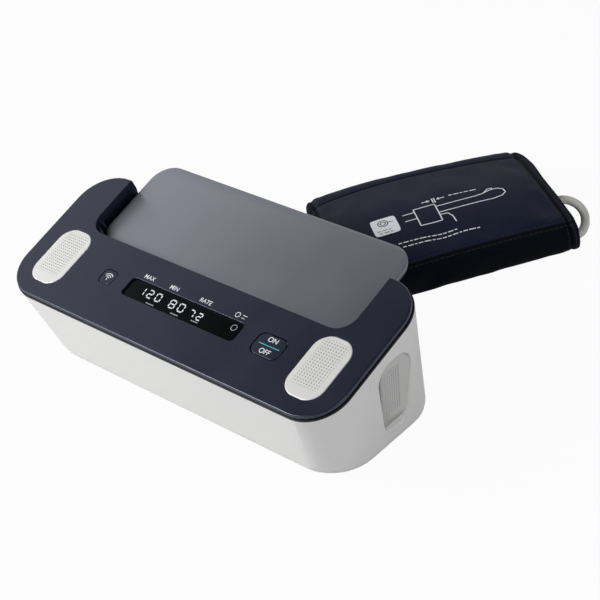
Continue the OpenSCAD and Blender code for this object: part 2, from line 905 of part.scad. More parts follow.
module air_jack() {
    color("#3b3d44") difference() {
        union() {
            translate([air_x, pad_y, air_z]) rotate([-90, 0, 0]) cylinder(h = 1.2, r = air_flange_r);
            translate([air_x, pad_y - air_inner, air_z]) rotate([-90, 0, 0])
                cylinder(h = air_inner + eps, r = air_barrel_r);
            translate([air_x, pad_y - air_inner - air_nipple, air_z]) rotate([-90, 0, 0])
                cylinder(h = air_nipple + eps, r = nipple_r);
        }
        translate([air_x, pad_y + 1.2 - plug_len - 1, air_z]) rotate([-90, 0, 0])
            cylinder(h = plug_len + 2, r = air_r);
    }
}

// ---- Pump, valve and inner hoses ----

module pump_motor() {
    color(steel) translate([motor_x[0], pump_y, pump_z]) rotate([0, 90, 0])
        cylinder(h = motor_x[1] - motor_x[0], r = motor_r);
}

pump_port_x = head_x[0] + 10;

module pump_head() {
    color("#46484e") {
        translate([head_x[0], pump_y, pump_z]) rotate([0, 90, 0])
            cylinder(h = head_x[1] - head_x[0], r = head_r);
        translate([pump_port_x, pump_y, pump_z + head_r - 1]) cylinder(h = 4.5, r = nipple_r);
    }
}

module pump_cradle() {
    cradle_h = pump_z - floor_z - 4;
    color(rubber_grey) difference() {
        translate([motor_x[0] + 4, pump_y - motor_r - 1, floor_z])
            cube([motor_x[1] - motor_x[0] - 8, 2 * motor_r + 2, cradle_h]);
        translate([motor_x[0], pump_y, pump_z]) rotate([0, 90, 0])
            cylinder(h = motor_x[1] - motor_x[0], r = motor_r + 0.1);
    }
}

module release_valve() {
    color("#5a5c62") translate([valve_at[0], valve_at[1], floor_z]) {
        cylinder(h = valve_h, r = valve_r);
        translate([0, 0, valve_h - eps]) cylinder(h = 6, r = nipple_r);
    }
}

// A hose through elbow fittings at its bends
module bend_pipe(points, r) {
    for (k = [0:len(points) - 2]) rod(points[k], points[k + 1], r);
    for (k = [1:len(points) - 2]) translate(points[k]) sphere(r + elbow_wall, $fn = 32);
}

// Point on the slope as a point of the model
function from_slope(x, s, n) =
    [x, front_y + s * cos(tilt) - n * sin(tilt), front_h + s * sin(tilt) + n * cos(tilt)];

module inner_hoses() {
    sensor_tip = board_n - board_t - sensor_t;
    sensor_top = from_slope(sensor_at[0], sensor_at[1], sensor_tip - 0.1);
    sensor_face = from_slope(sensor_at[0], sensor_at[1], sensor_tip + 1);
    sensor_end = from_slope(sensor_at[0], sensor_at[1], sensor_tip - 8);
    jack_end = pad_y - air_inner - 0.1;
    drop_y = door_hd + 1.4 + branch_r + elbow_wall + 0.4;
    valve_top = floor_z + valve_h + 0.1;
    color("#c9c9c4") difference() {
        union() {
            bend_pipe([[pump_port_x, pump_y, pump_z + head_r + 0.1], [pump_port_x, pump_y, hose_z],
                [valve_at[0], valve_at[1], hose_z], [valve_at[0], valve_at[1], valve_top]], hose_r);
            bend_pipe([sensor_top, sensor_end, [sensor_at[0], -6.4, hose_z]], branch_r);
            bend_pipe([[air_x, -7.9, hose_z], [air_x, drop_y, hose_z], [air_x, drop_y, air_z],
                [air_x, jack_end, air_z]], branch_r);
        }
        rod([pump_port_x, pump_y, pump_z], [pump_port_x, pump_y, hose_z - 4], nipple_r + 0.05);
        rod([valve_at[0], valve_at[1], floor_z], [valve_at[0], valve_at[1], valve_top + 6.2], nipple_r + 0.05);
        rod(sensor_face, from_slope(sensor_at[0], sensor_at[1], sensor_tip - 5.2), nipple_r + 0.05);
        rod([air_x, jack_end - air_nipple - 0.2, air_z], [air_x, jack_end + 1, air_z], nipple_r + 0.05);
    }
}

// ---- Batteries, cover, feet and screws ----

module cell(col, row, flip) {
    end_x = col * cell_x - cell_len / 2;
    color("#b7892f") translate([end_x, row * cell_y, cell_z]) rotate([0, 90, 0]) {
        translate([0, 0, flip ? 1 : 0]) cylinder(h = cell_len - 1, r = cell_d / 2);
        translate([0, 0, flip ? 0 : cell_len - 1 - eps]) cylinder(h = 1 + eps, r = 2.75);
    }
}

module battery_1() {
    cell(-1, -1, true);
}

module battery_2() {
    cell(1, -1, true);
}

module battery_3() {
    cell(-1, 1, false);
}

module battery_4() {
    cell(1, 1, false);
}

module battery_contacts() {
    plate_w = 0.5;
    spring_len = contact_room - plate_w - 0.3;
    color(steel) for (side = [0, 1], row = [-1, 1]) mirror([side, 0, 0])
        translate([bay_hw - plate_w, row * cell_y, cell_z]) {
            translate([0, -6, -6]) cube([plate_w, 12, 12]);
            rotate([0, -90, 0]) cylinder(h = spring_len, r1 = 4.5, r2 = 2.6);
        }
}

module battery_cover() {
    nail_w = 16;
    color(white) difference() {
        union() {
            translate([-door_hw, door_y, foot_drop + 0.1]) cube([2 * door_hw, door_hd - door_y, door_t]);
            translate([-door_hw, door_y, door_z]) rotate([0, 90, 0])
                cylinder(h = 2 * door_hw, r = door_t / 2, $fn = 32);
            translate([-door_hw - 1.3, door_y, door_z]) rotate([0, 90, 0])
                cylinder(h = 2 * (door_hw + 1.3), r = door_pin_r, $fn = 24);
        }
        // Nail nick at the free edge
        translate([-nail_w / 2, door_hd - 1.2, -1]) cube([nail_w, 4, 2.4]);
    }
}

module feet() {
    color(rubber_grey) for (x = [-foot_x, foot_x], y = [-foot_y, foot_y])
        translate([x, y, 0]) cylinder(h = foot_t - 0.05, r = foot_r);
}

module housing_screws() {
    color(steel) both_sides() for (at = [front_screw, rear_screw])
        translate([at[0], at[1], well_z - 2]) {
            cylinder(h = 2 - 0.02, r = case_head_r);
            cylinder(h = 13, r = case_screw_r);
        }
}

// ---- Folded cuff ----

module on_cuff() {
    translate([cuff_at[0], cuff_at[1], 0]) rotate(cuff_turn) children();
}

// Places along the cuff, with how full its section is there: bound ends, seam, crown
end_r = 9;
cuff_rings = [for (d = [0, 0.8, 2.4, 4.6, 5.6, 6.6, 9.5, 16, 28, 44, 60])
    [d, d < 0.5 ? 0.94 : d < 1 ? 0.985 : d > 5 && d < 6 ? 0.955 : 1]];

function cuff_full(u) = 1 + cuff_crown / cuff_t * pow(sin(180 * (cuff_right - u) / cuff_len), 0.7);
function far_edge(u) = cuff_d - 4 + cuff_flare * (cuff_right - u) / cuff_len;
function skew_at(u, v) = cuff_skew * (u - cuff_left) / cuff_len * (1 - v / cuff_d);
function end_draw(d) = d >= end_r ? 0 : end_r - sqrt(pow(end_r, 2) - pow(end_r - d, 2));

// Angles of the points round the fold, close together at the seam along it
seam_angle = 147;
fold_angles = [270, 247.5, 225, 202.5, 180, 162, seam_angle + 4, seam_angle, seam_angle - 4,
    130, 110, 90];

// Section of the folded cuff: the round fold with its seam, the crowned top with the far
// seam, the far edge with the gap under the top flap, and the flat foot
function cuff_section(d, u, fit) =
    let (t = cuff_t * fit * cuff_full(u), h = cuff_t * (1 - fit) * 0.4,
        v1 = far_edge(u) - end_draw(d), top = t - h, r = (top - h) / 2, c = (top + h) / 2,
        seam = 0.7, flap = top - slot_z, pack = slot_z - h)
    concat(
        [for (a = fold_angles) let (dent = a == seam_angle ? seam : 0)
            [fold_v + (1 - fit) * 20 + (fold_reach - (1 - fit) * 12 - dent) * cos(a),
                c + (r - dent) * sin(a)]],
        [for (k = [1:crown_steps]) let (f = k / (crown_steps + 1))
            [fold_v + (v1 - fold_v - 12) * f, top + cuff_crown * sin(180 * f) * 0.8 + 0.3]],
        [[v1 - 11, top + 0.3], [v1 - 9.8, top - seam], [v1 - 8.6, top + 0.2],
            [v1 - 4, top - flap * 0.05], [v1 - 1, top - flap * 0.2], [v1, top - flap * 0.5],
            [v1 - 0.6, slot_z + slot_t / 2], [slot_v, slot_z + slot_t / 2],
            [slot_v, slot_z - slot_t / 2], [v1 - 1, slot_z - slot_t / 2],
            [v1 - 0.4, h + pack * 0.45], [v1 - 1.6, h + pack * 0.15], [v1 - 5, h]]);

ring_count = 2 * len(cuff_rings) + 1;

// Rings from the right end to the left one, mirrored about the middle
function cuff_ring(k) =
    let (n = len(cuff_rings), mid = k == n, i = k < n ? k : 2 * n - k,
        d = mid ? cuff_len / 2 : cuff_rings[i][0], fit = mid ? 1 : cuff_rings[i][1],
        u = k < n ? cuff_right - d : cuff_left + d)
    [for (p = cuff_section(d, u, fit)) [u + skew_at(u, p[0]), p[0], p[1]]];

// Skin over rings of points, closed at both ends by the faces of cap
function skin_faces(rings, sides, cap) = concat(
    [for (k = [0:rings - 2], i = [0:sides - 1]) let (j = (i + 1) % sides)
        [k * sides + i, k * sides + j, (k + 1) * sides + i]],
    [for (k = [0:rings - 2], i = [0:sides - 1]) let (j = (i + 1) % sides)
        [k * sides + j, (k + 1) * sides + j, (k + 1) * sides + i]],
    [for (f = cap) [for (i = [len(f) - 1:-1:0]) f[i]]],
    [for (f = cap) [for (i = f) (rings - 1) * sides + i]]);

// Triangles that close the cuff's end: the flap above the gap, its bound edge beyond the
// far seam, and the folds below. The last two corners of the gap see all the others.
fold_mid = 4;
crown_steps = 5;
far_seam = len(fold_angles) + crown_steps + 1;
gap_top = far_seam + 6;
gap_foot = gap_top + 1;
section_end = gap_foot + 4;
cuff_cap = concat([for (i = [fold_mid:far_seam - 1]) [i, i + 1, gap_top]],
    [for (i = [far_seam:gap_top - 3]) [i, i + 1, gap_top - 1]],
    [[far_seam, gap_top - 1, gap_top], [fold_mid, gap_top, gap_foot]],
    [for (i = [gap_foot + 1:section_end - 1]) [i, i + 1, gap_foot]], [[section_end, 0, gap_foot]],
    [for (i = [0:fold_mid - 1]) [i, i + 1, gap_foot]]);

module cuff_form() {
    sides = len(cuff_section(0, 0, 1));
    polyhedron([for (k = [0:ring_count - 1]) each cuff_ring(k)], skin_faces(ring_count, sides, cuff_cap));
}

bladder_t = 2.4;
bladder_u = [cuff_left + 13, cuff_right - 19];
bladder_v = [fold_v + 14, cuff_d - 14];
bar_v = cuff_d - 12;
bar_z = slot_z - 1.4;
bar_r = 1.5;

module cuff_sleeve() {
    color(cloth) on_cuff() difference() {
        cuff_form();
        // Pocket of the bladder, with the way out for its port
        translate([bladder_u[0] - 0.3, bladder_v[0] - 0.3, port_z - bladder_t / 2 - 0.3])
            cube([bladder_u[1] - bladder_u[0] + 0.6, bladder_v[1] - bladder_v[0] + 0.6, bladder_t + 0.6]);
        translate([bladder_u[1] - 1, port_v, port_z]) rotate([0, 90, 0])
            cylinder(h = 30, r = port_r + 0.15, $fn = 12);
        // Way of the air tube through the fold
        translate([cuff_left - 5, channel_v, channel_z]) rotate([0, 90, 0])
            cylinder(h = cuff_len + cuff_skew + 10, r = channel_r, $fn = 12);
        // Groove of the closing bar, under the top flap
        translate([cuff_left + 7, bar_v, bar_z]) rotate([0, 90, 0])
            cylinder(h = cuff_len - 14, r = bar_r + 0.3, $fn = 12);
    }
}

module cuff_bladder() {
    color("#8f8f8a") on_cuff() translate([bladder_u[0], bladder_v[0], port_z - bladder_t / 2])
        cube([bladder_u[1] - bladder_u[0], bladder_v[1] - bladder_v[0], bladder_t]);
}

port_u = [bladder_u[1] + 0.1, cuff_right - 1.6];

module cuff_port() {
    color("#5a5c62") on_cuff() translate([port_u[0], port_v, port_z]) rotate([0, 90, 0]) difference() {
        cylinder(h = port_u[1] - port_u[0], r = port_r);
        translate([0, 0, port_u[1] - port_u[0] - 2]) cylinder(h = 3, r = tube_d / 2 + 0.05);
        translate([0, 0, -1]) cylinder(h = 30, r = 1.5);
    }
}

module cuff_bar() {
    color(steel) on_cuff() translate([cuff_left + 7.5, bar_v, bar_z]) rotate([0, 90, 0])
        cylinder(h = cuff_len - 15, r = bar_r);
}

patch_t = 1;
patch_u = [cuff_left + 21, cuff_right - 29];
patch_v = [cuff_d - 58, cuff_d - 14];

module hook_patch() {
    color("#101117") on_cuff() translate([patch_u[0], patch_v[0], slot_z - slot_t / 2 + 0.05])
        cube([patch_u[1] - patch_u[0], patch_v[1] - patch_v[0], patch_t]);
}

// ---- Air tube ----

function unit(v) = v / norm(v);

// Sides of a tube round one point of its path
function tube_ring(p, ahead, r, sides) =
    let (side = unit(cross(ahead, [0, 0, 1])), up = cross(side, ahead))
    [for (i = [0:sides - 1]) let (a = 360 * (i + 0.5) / sides) p + r * (cos(a) * side - sin(a) * up)];

function heading(path, k) = unit(path[min(k + 1, len(path) - 1)] - path[max(k - 1, 0)]);

module tube(path, r, sides, first = undef, last = undef) {
    n = len(path);
    points = [for (k = [0:n - 1]) each tube_ring(path[k],
        k == 0 && first != undef ? first : k == n - 1 && last != undef ? last : heading(path, k), r, sides)];
    polyhedron(points, skin_faces(n, sides, [[for (i = [0:sides - 1]) i]]));
}

module tube_cuff_run() {
    color(tube_grey) tube(cuff_run, tube_d / 2, 8, first = unit([0.559, 0.829, 0]), last = [-1, 0, 0]);
}

module tube_plug_run() {
    color(tube_grey) tube(plug_run, tube_d / 2, 8, first = [0, -1, 0], last = [0, -1, 0]);
}

// The coil spirals in on its lower layer, climbs, and spirals out on its upper one. The tie
// lifts its far side.
function ease(x) = let (c = max(0, min(1, x))) c * c * (3 - 2 * c);
function coil_point(t) =
    let (a = -90 - 360 * coil_turns * t, r = coil_outer - (coil_outer - coil_inner) * (1 - abs(2 * t - 1)))
    [coil_at[0] + r * cos(a), coil_at[1] + r * sin(a),
        coil_z + tie_lift * (1 - cos(a)) / 2 + coil_rise * ease((coil_turns * (t - 0.5) + 0.25) / 0.5)];
coil_path = concat([coil_point(0) + [coil_lead, 0, 0]],
    [for (k = [0:coil_rings]) coil_point(k / coil_rings)],
    [coil_point(1) - [0, coil_lead, 0]]);
coil_sides = 6;
coil_gap = min([for (i = [0:coil_rings], j = [i:coil_rings])
    if ((j - i) * coil_turns / coil_rings > 0.6) norm(coil_point(i / coil_rings) - coil_point(j / coil_rings))])
    - tube_d;
echo(coil_least_gap = coil_gap);

module tube_coil() {
    color(tube_grey) tube(coil_path, tube_d / 2, coil_sides, first = [-1, 0, 0], last = [0, -1, 0]);
}

// Strap round the two strands, on the coil's far side from the cuff
module tube_tie() {
    low = coil_point(0.25 / coil_turns);
    high = coil_point(1.25 / coil_turns);
    color(rubber_grey) translate([0, coil_at[1] + tie_w / 2, 0]) rotate([90, 0, 0]) linear_extrude(tie_w)
        difference() {
            strap_outline(low, high, tube_d / 2 + tie_gap + tie_t);
            strap_outline(low, high, tube_d / 2 + tie_gap);
        }
}

module strap_outline(low, high, r) {
    hull($fn = hull_fn) {
        translate([low[0], low[2]]) circle(r);
        translate([high[0], high[2]]) circle(r);
    }
}

module air_plug() {
    collar_y = pad_y + 1.2 + 0.1;
    color("#8e8f8d") difference() {
        union() {
            translate([air_x, collar_y - plug_len, air_z]) rotate([-90, 0, 0])
                cylinder(h = plug_len + eps, r = air_r - fit_gap);
            translate([air_x, collar_y, air_z]) rotate([-90, 0, 0]) cylinder(h = 11, r = 6.2);
            translate([air_x, collar_y + 11 - eps, air_z]) rotate([-90, 0, 0])
                cylinder(h = 9, r1 = 4.6, r2 = 3.6);
        }
        translate([air_x, plug_run[len(plug_run) - 1][1], air_z]) rotate([-90, 0, 0])
            cylinder(h = 12, r = tube_d / 2 + 0.05);
    }
}

lower_housing();
lip_frame();
top_cover();
display_window();
display_module();
start_button();
connection_button();
top_electrode_left();
top_electrode_right();
side_electrode_left();
side_electrode_right();
stand_panel();
panel_backing();
hinge_pins();
panel_bumpers();
main_board();
button_switches();
pressure_sensor();
electrode_leads();
board_screws();
power_board();
dc_jack();
air_jack();
pump_motor();
pump_head();
pump_cradle();
release_valve();
inner_hoses();
battery_contacts();
battery_1();
battery_2();
battery_3();
battery_4();
battery_cover();
feet();
housing_screws();
cuff_sleeve();
cuff_bladder();
cuff_port();
cuff_bar();
hook_patch();
tube_cuff_run();
tube_coil();
tube_plug_run();
tube_tie();
air_plug();
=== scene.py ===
# %% [markdown]
# # A desktop blood pressure monitor with its folded arm cuff
# The monitor is a white wedge of moulded plastic under a dark sloping cover. A grey stand
# panel fills the recess between the cover's two arms. The arm cuff lies folded behind it,
# on a soft air tube. The solids come from the CAD part. This file gives each surface its
# finish, models the soft cuff, prints the signs and sets the light and the camera.

# %% The frame of CAD solids
import math
import bmesh
import bpy
from mathutils import Matrix, Vector
from mathutils.bvhtree import BVHTree


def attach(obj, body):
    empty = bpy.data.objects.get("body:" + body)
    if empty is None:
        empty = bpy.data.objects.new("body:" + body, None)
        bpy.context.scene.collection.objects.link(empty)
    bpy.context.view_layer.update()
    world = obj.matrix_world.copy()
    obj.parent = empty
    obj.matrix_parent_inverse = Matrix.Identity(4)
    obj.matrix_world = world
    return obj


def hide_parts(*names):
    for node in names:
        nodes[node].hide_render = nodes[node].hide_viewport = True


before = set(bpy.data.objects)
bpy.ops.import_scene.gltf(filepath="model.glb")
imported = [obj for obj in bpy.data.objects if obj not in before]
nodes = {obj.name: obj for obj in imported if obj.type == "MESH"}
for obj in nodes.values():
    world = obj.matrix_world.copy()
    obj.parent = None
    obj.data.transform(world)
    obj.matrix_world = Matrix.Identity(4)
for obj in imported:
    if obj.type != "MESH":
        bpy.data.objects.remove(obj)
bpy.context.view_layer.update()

print("CAD nodes:", len(nodes))

# %% [markdown]
# ## Units and the sloping top
# Blender works in metres, and the drawing of the monitor is in millimetres, so every size
# here is written in millimetres and multiplied once. Most of what can be seen lies on the
# sloping top. A matrix that tilts a flat drawing onto it lets each sign be drawn flat.

# %% Units, and the matrix of the sloping top
MM = 0.001
TILT = 16.2
FRONT_Y, FRONT_H = -57.3, 53.3
LIP_N, COVER_N, WINDOW_N, BUTTON_N, PAD_N = 1.5, 4.2, 2.9, 4.1, 4.6
ROW_S = 32.0
SLOPE = (Matrix.Translation((0, FRONT_Y * MM, FRONT_H * MM))
         @ Matrix.Rotation(math.radians(TILT), 4, "X"))
INTO_SLOPE = SLOPE.inverted()
print("Middle of the display:", tuple(round(c, 4) for c in SLOPE @ Vector((0, ROW_S * MM, 0))))

# %% [markdown]
# ## The camera
# The camera stands where the photograph was taken from: to the right, in front and above.
# Its place and lens were found by fitting the outline of the wedge to the photograph, and
# the three rows below are its right, down and forward directions.

# %% Camera
CAMERA_AT = (0.6634443, -0.4935480, 0.6128203)
CAMERA_ROWS = ((0.7189243, 0.6725447, -0.1755888),
               (0.2899625, -0.5197629, -0.8035971),
               (-0.6317195, 0.5268113, -0.5686830))
PHOTO_SIDE = 600
FOCAL_PIXELS = 1711.99
SENSOR = 36.0

camera_data = bpy.data.cameras.new("camera")
camera_data.sensor_width = SENSOR
camera_data.lens = FOCAL_PIXELS / PHOTO_SIDE * SENSOR
camera_data.clip_start, camera_data.clip_end = 0.05, 20
right, down, ahead = (Vector(row) for row in CAMERA_ROWS)
camera = bpy.data.objects.new("camera", camera_data)
camera.matrix_world = (Matrix.Translation(CAMERA_AT)
                       @ Matrix((right, -down, -ahead)).transposed().to_4x4())
bpy.context.collection.objects.link(camera)
bpy.context.scene.camera = camera
print("Lens:", round(camera_data.lens, 2), "mm")

# %% [markdown]
# ## Small helpers
# Colours are written as the sRGB hex values that a colour picker shows, and Blender wants
# them linear. One function adds a node, sets it and links it. One starts a material with
# its shader, and one selects a single piece before an operator runs on it.

# %% Helpers for colours, nodes and pieces


def colour(code):
    """A linear RGBA colour from an sRGB hex value."""
    parts = [int(code[i:i + 2], 16) / 255 for i in (1, 3, 5)]
    return [c / 12.92 if c <= 0.04045 else ((c + 0.055) / 1.055) ** 2.4 for c in parts] + [1]


def add(tree, kind, links=None, **settings):
    """Adds a node. links gives a socket a value, an output, or a node for its first output."""
    new = tree.nodes.new("ShaderNode" + kind)
    for key, value in settings.items():
        setattr(new, key, value)
    for socket, value in (links or {}).items():
        if isinstance(value, bpy.types.Node):
            value = value.outputs[0]
        if isinstance(value, bpy.types.NodeSocket):
            tree.links.new(value, new.inputs[socket])
        else:
            new.inputs[socket].default_value = value
    return new


def start(name, base, roughness, **sockets):
    """A new material with its tree, its shader and the object's own coordinates."""
    material = bpy.data.materials.new(name)
    material.use_nodes = True
    tree = material.node_tree
    shader = tree.nodes["Principled BSDF"]
    shader.inputs["Base Color"].default_value = colour(base)
    shader.inputs["Roughness"].default_value = roughness
    for socket, value in sockets.items():
        shader.inputs[socket.replace("_", " ")].default_value = value
    place = add(tree, "TexCoord").outputs["Object"]
    return material, tree, shader, place


def only(piece):
    """Selects one piece alone and makes it the active one."""
    bpy.ops.object.select_all(action="DESELECT")
    piece.select_set(True)
    bpy.context.view_layer.objects.active = piece
    return piece


def paint(piece, material):
    """Gives a piece one material and no other."""
    piece.data.materials.clear()
    piece.data.materials.append(material)


def moulded(tree, shader, place, grain, depth, low, high):
    """Gives a moulded plastic its fine grain and its slightly uneven gloss."""
    fine = add(tree, "TexNoise", {"Vector": place, "Scale": 1 / (grain * MM), "Detail": 2.0})
    bump = add(tree, "Bump", {"Height": fine.outputs["Fac"], "Distance": depth * MM,
                              "Strength": 0.6})
    tree.links.new(bump.outputs["Normal"], shader.inputs["Normal"])
    broad = add(tree, "TexNoise", {"Vector": place, "Scale": 28.0, "Detail": 3.0})
    gloss = add(tree, "MapRange", {"Value": broad.outputs["Fac"], "From Min": 0.3,
                                   "From Max": 0.7, "To Min": low, "To Max": high})
    tree.links.new(gloss.outputs["Result"], shader.inputs["Roughness"])


def plain(name, base, roughness, skin, **sockets):
    """A whole moulded material. skin is its grain, depth, lowest and highest roughness."""
    material, tree, shader, place = start(name, base, roughness, **sockets)
    moulded(tree, shader, place, *skin)
    return material


# %% [markdown]
# ## The air tube
# The tube is soft grey PVC, 5.6 mm thick and 750 mm long. It leaves the cuff's end, turns
# down and back through the cuff's fold, and runs to a tied coil behind the monitor, where
# the monitor hides it. The route repeats the points that the CAD solids follow. A curve
# with a round bevel is the plainest way to make a tube, since it keeps its own length.

# %% Route of the air tube
TUBE_D = 5.6
TIE_T, TIE_GAP = 0.8, 0.5
CUFF_RUN = [(74.7, 211.8, 20), (76.7, 214.8, 20), (78.6, 217.6, 20), (82.2, 221.3, 19.5),
            (86.7, 223.5, 18), (91.4, 223.8, 15.8), (95.7, 222.2, 13.2), (98.9, 218.9, 10.5),
            (100.7, 214.5, 8), (100.8, 210.1, 6.7), (99.1, 206.8, 6.4), (92.7, 197.3, 6.4),
            (84.9, 185.7, 6.4), (75.9, 172.4, 6.4), (67, 159.1, 6.4), (58, 145.8, 6.4),
            (49.1, 132.6, 6.4), (40.1, 119.3, 6.4), (31.2, 106, 6.4), (22.2, 92.8, 6.4),
            (15, 82, 6.4), (11, 76.2, 6), (6, 70, 4.9), (-1, 64.5, 3.7), (-10, 60.6, 3),
            (-21, 59.1, 2.8), (-34, 58.8, 2.8), (-48, 58.8, 2.8), (-62, 58.8, 2.8),
            (-76, 58.8, 2.8), (-90, 58.8, 3.1)]
PLUG_RUN = [(-72, 89.4, 9), (-72, 84.5, 9.6), (-72, 80, 11.4), (-72, 76, 14.3),
            (-72, 72, 17.3), (-72, 68.6, 19.3), (-72, 65.2, 20), (-72, 57, 20)]
COIL_AT = (-108.2, 95)
COIL_OUTER, COIL_INNER, COIL_TURNS = 36.2, 30.4, 1.75
COIL_Z, COIL_RISE = 2.85, 6.15
COIL_POINTS = 28


def coil_point(t):
    """A point of the coil, from its lower start at 0 to its upper end at 1."""
    angle = math.radians(-90 - 360 * COIL_TURNS * t)
    r = COIL_OUTER - (COIL_OUTER - COIL_INNER) * (1 - abs(2 * t - 1))
    climb = min(1.0, max(0.0, (COIL_TURNS * (t - 0.5) + 0.25) / 0.5))
    lift = (TIE_T + TIE_GAP) * (1 - math.cos(angle)) / 2
    z = COIL_Z + lift + COIL_RISE * climb ** 2 * (3 - 2 * climb)
    return (COIL_AT[0] + r * math.cos(angle), COIL_AT[1] + r * math.sin(angle), z)


route = CUFF_RUN + [coil_point(k / COIL_POINTS) for k in range(COIL_POINTS + 1)] + PLUG_RUN
tube_length = sum((Vector(b) - Vector(a)).length for a, b in zip(route, route[1:]))
print("Tube:", round(tube_length), "mm")

# %% The tube's curve
tube_curve = bpy.data.curves.new("air_tube", "CURVE")
tube_curve.dimensions = "3D"
tube_curve.bevel_depth = TUBE_D / 2 * MM
tube_curve.bevel_resolution = 6
tube_curve.use_fill_caps = True
line = tube_curve.splines.new("BEZIER")
line.resolution_u = 8
line.bezier_points.add(len(route) - 1)
for point, at in zip(line.bezier_points, route):
    point.co = Vector(at) * MM
    point.handle_left_type = point.handle_right_type = "AUTO"
air_tube = bpy.data.objects.new("air_tube", tube_curve)
bpy.context.collection.objects.link(air_tube)
print("Tube points:", len(line.bezier_points))

# %% [markdown]
# The tube is extruded PVC with a soft satin skin. Its faint mottling and fine grain are a
# few tenths of a millimetre, drawn a little coarser so that they show.

# %% Soft PVC of the tube
tube_pvc = plain("tube_pvc", "#dddcd6", 0.42, (0.8, 0.03, 0.36, 0.5),
                 Subsurface_Weight=0.08, Subsurface_Scale=0.002)
tube_curve.materials.append(tube_pvc)
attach(air_tube, "cuff")
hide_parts("tube_cuff_run", "tube_coil", "tube_plug_run")

# %% [markdown]
# ## Materials of the rigid pieces
# Each one starts from what the real piece is made of. Two kinds of ABS make the housing
# and the cover. Both are moulded in a tool with a fine spark-eroded grain, which spreads
# the highlights. The grain is 0.15 mm on the real thing and is drawn at 0.6 mm. The lip
# under the cover is the same plastic with a duller skin, and its colour is painted darker
# as the shade under the cover's edge.

# %% White and navy ABS, and the grey panel
housing_abs = plain("housing_white_abs", "#ebebe9", 0.38, (0.6, 0.012, 0.34, 0.44))
cover_abs = plain("cover_navy_abs", "#0f1322", 0.28, (0.6, 0.014, 0.25, 0.31),
                  Specular_IOR_Level=0.8, Specular_Tint=colour("#dde3ff"))
# The lip's base colour is painted darker than the cover's, as shade under the cover's edge.
lip_shaded_abs = plain("lip_navy_abs_painted_shade", "#090b14", 0.4, (0.6, 0.014, 0.37, 0.43),
                Specular_IOR_Level=0.2)
inner_abs = plain("inner_dark_abs", "#3a3c43", 0.5, (0.8, 0.02, 0.45, 0.6))

# %% [markdown]
# The stand panel is ABS under a soft grey paint with a little aluminium flake in it, which
# makes it brighter where it mirrors the light and duller where it doesn't.

# %% Grey paint of the stand panel
panel_paint = plain("panel_grey_paint", "#7d7f88", 0.34, (0.7, 0.01, 0.31, 0.37), Metallic=0.5)

# %% [markdown]
# The window is clear acrylic over a black mask, so it is nearly a mirror. The electrodes
# are nickel silver with a blasted satin face, and carry a grid of small punched dimples,
# each painted darker as the shade inside it. The dots repeat with a fixed pitch, so they
# are worked out from the distance to the nearest point of a grid, and a second mask keeps
# them inside the middle of the plate.

# %% Acrylic and electrode metal
window_acrylic = plain("window_black_acrylic", "#05070a", 0.09, (6.0, 0.002, 0.07, 0.12),
                       IOR=1.49, Specular_IOR_Level=0.12)


def punched(name, turn, shift, pitch, half, dot_r, axes="XY", metal_share=0.25,
            base="#e0dfdd", dot_shade_tone="#8b8c8e", rough=0.42):
    """Satin electrode metal with a grid of dimples painted dark as shade, drawn in its own
    plane.
    """
    metal, tree, shader, place = start(name, base, rough, Metallic=metal_share)
    moved = add(tree, "Mapping", {"Vector": place, "Location": shift,
                                  "Rotation": turn}).outputs["Vector"]
    parts = add(tree, "SeparateXYZ", {"Vector": moved}).outputs
    squares, inside = [], []
    for axis, step, reach in zip(axes, pitch, half):
        far = add(tree, "Math", {0: parts[axis]}, operation="ABSOLUTE")
        inside.append(add(tree, "Math", {0: far, 1: reach * MM}, operation="LESS_THAN"))
        cells = add(tree, "Math", {0: parts[axis], 1: 1 / (step * MM), 2: 0.5},
                    operation="MULTIPLY_ADD")
        wrapped = add(tree, "Math", {0: cells, 1: 0.5, 2: -0.5}, operation="WRAP")
        sized = add(tree, "Math", {0: wrapped, 1: step}, operation="MULTIPLY")
        squares.append(add(tree, "Math", {0: sized, 1: 2.0}, operation="POWER"))
    total = add(tree, "Math", {0: squares[0], 1: squares[1]})
    radius = add(tree, "Math", {0: total}, operation="SQRT")
    dot = add(tree, "MapRange", {"Value": radius, "From Min": dot_r * 0.7,
                                 "From Max": dot_r * 1.2, "To Min": 1.0, "To Max": 0.0})
    field = add(tree, "Math", {0: inside[0], 1: inside[1]}, operation="MULTIPLY")
    mask = add(tree, "Math", {0: dot.outputs["Result"], 1: field}, operation="MULTIPLY")
    # Each dot is a punched dimple, its colour painted darker as the shade inside it.
    dot_shade = add(tree, "Mix", {"Factor": mask, "A": colour(base),
                             "B": colour(dot_shade_tone)}, data_type="RGBA")
    tree.links.new(dot_shade.outputs["Result"], shader.inputs["Base Color"])
    blasted = add(tree, "TexNoise", {"Vector": place, "Scale": 1400.0, "Detail": 2.0})
    height = add(tree, "Math", {0: blasted.outputs["Fac"], 1: mask}, operation="SUBTRACT")
    bump = add(tree, "Bump", {"Height": height, "Distance": 0.00006, "Strength": 0.4})
    tree.links.new(bump.outputs["Normal"], shader.inputs["Normal"])
    return metal


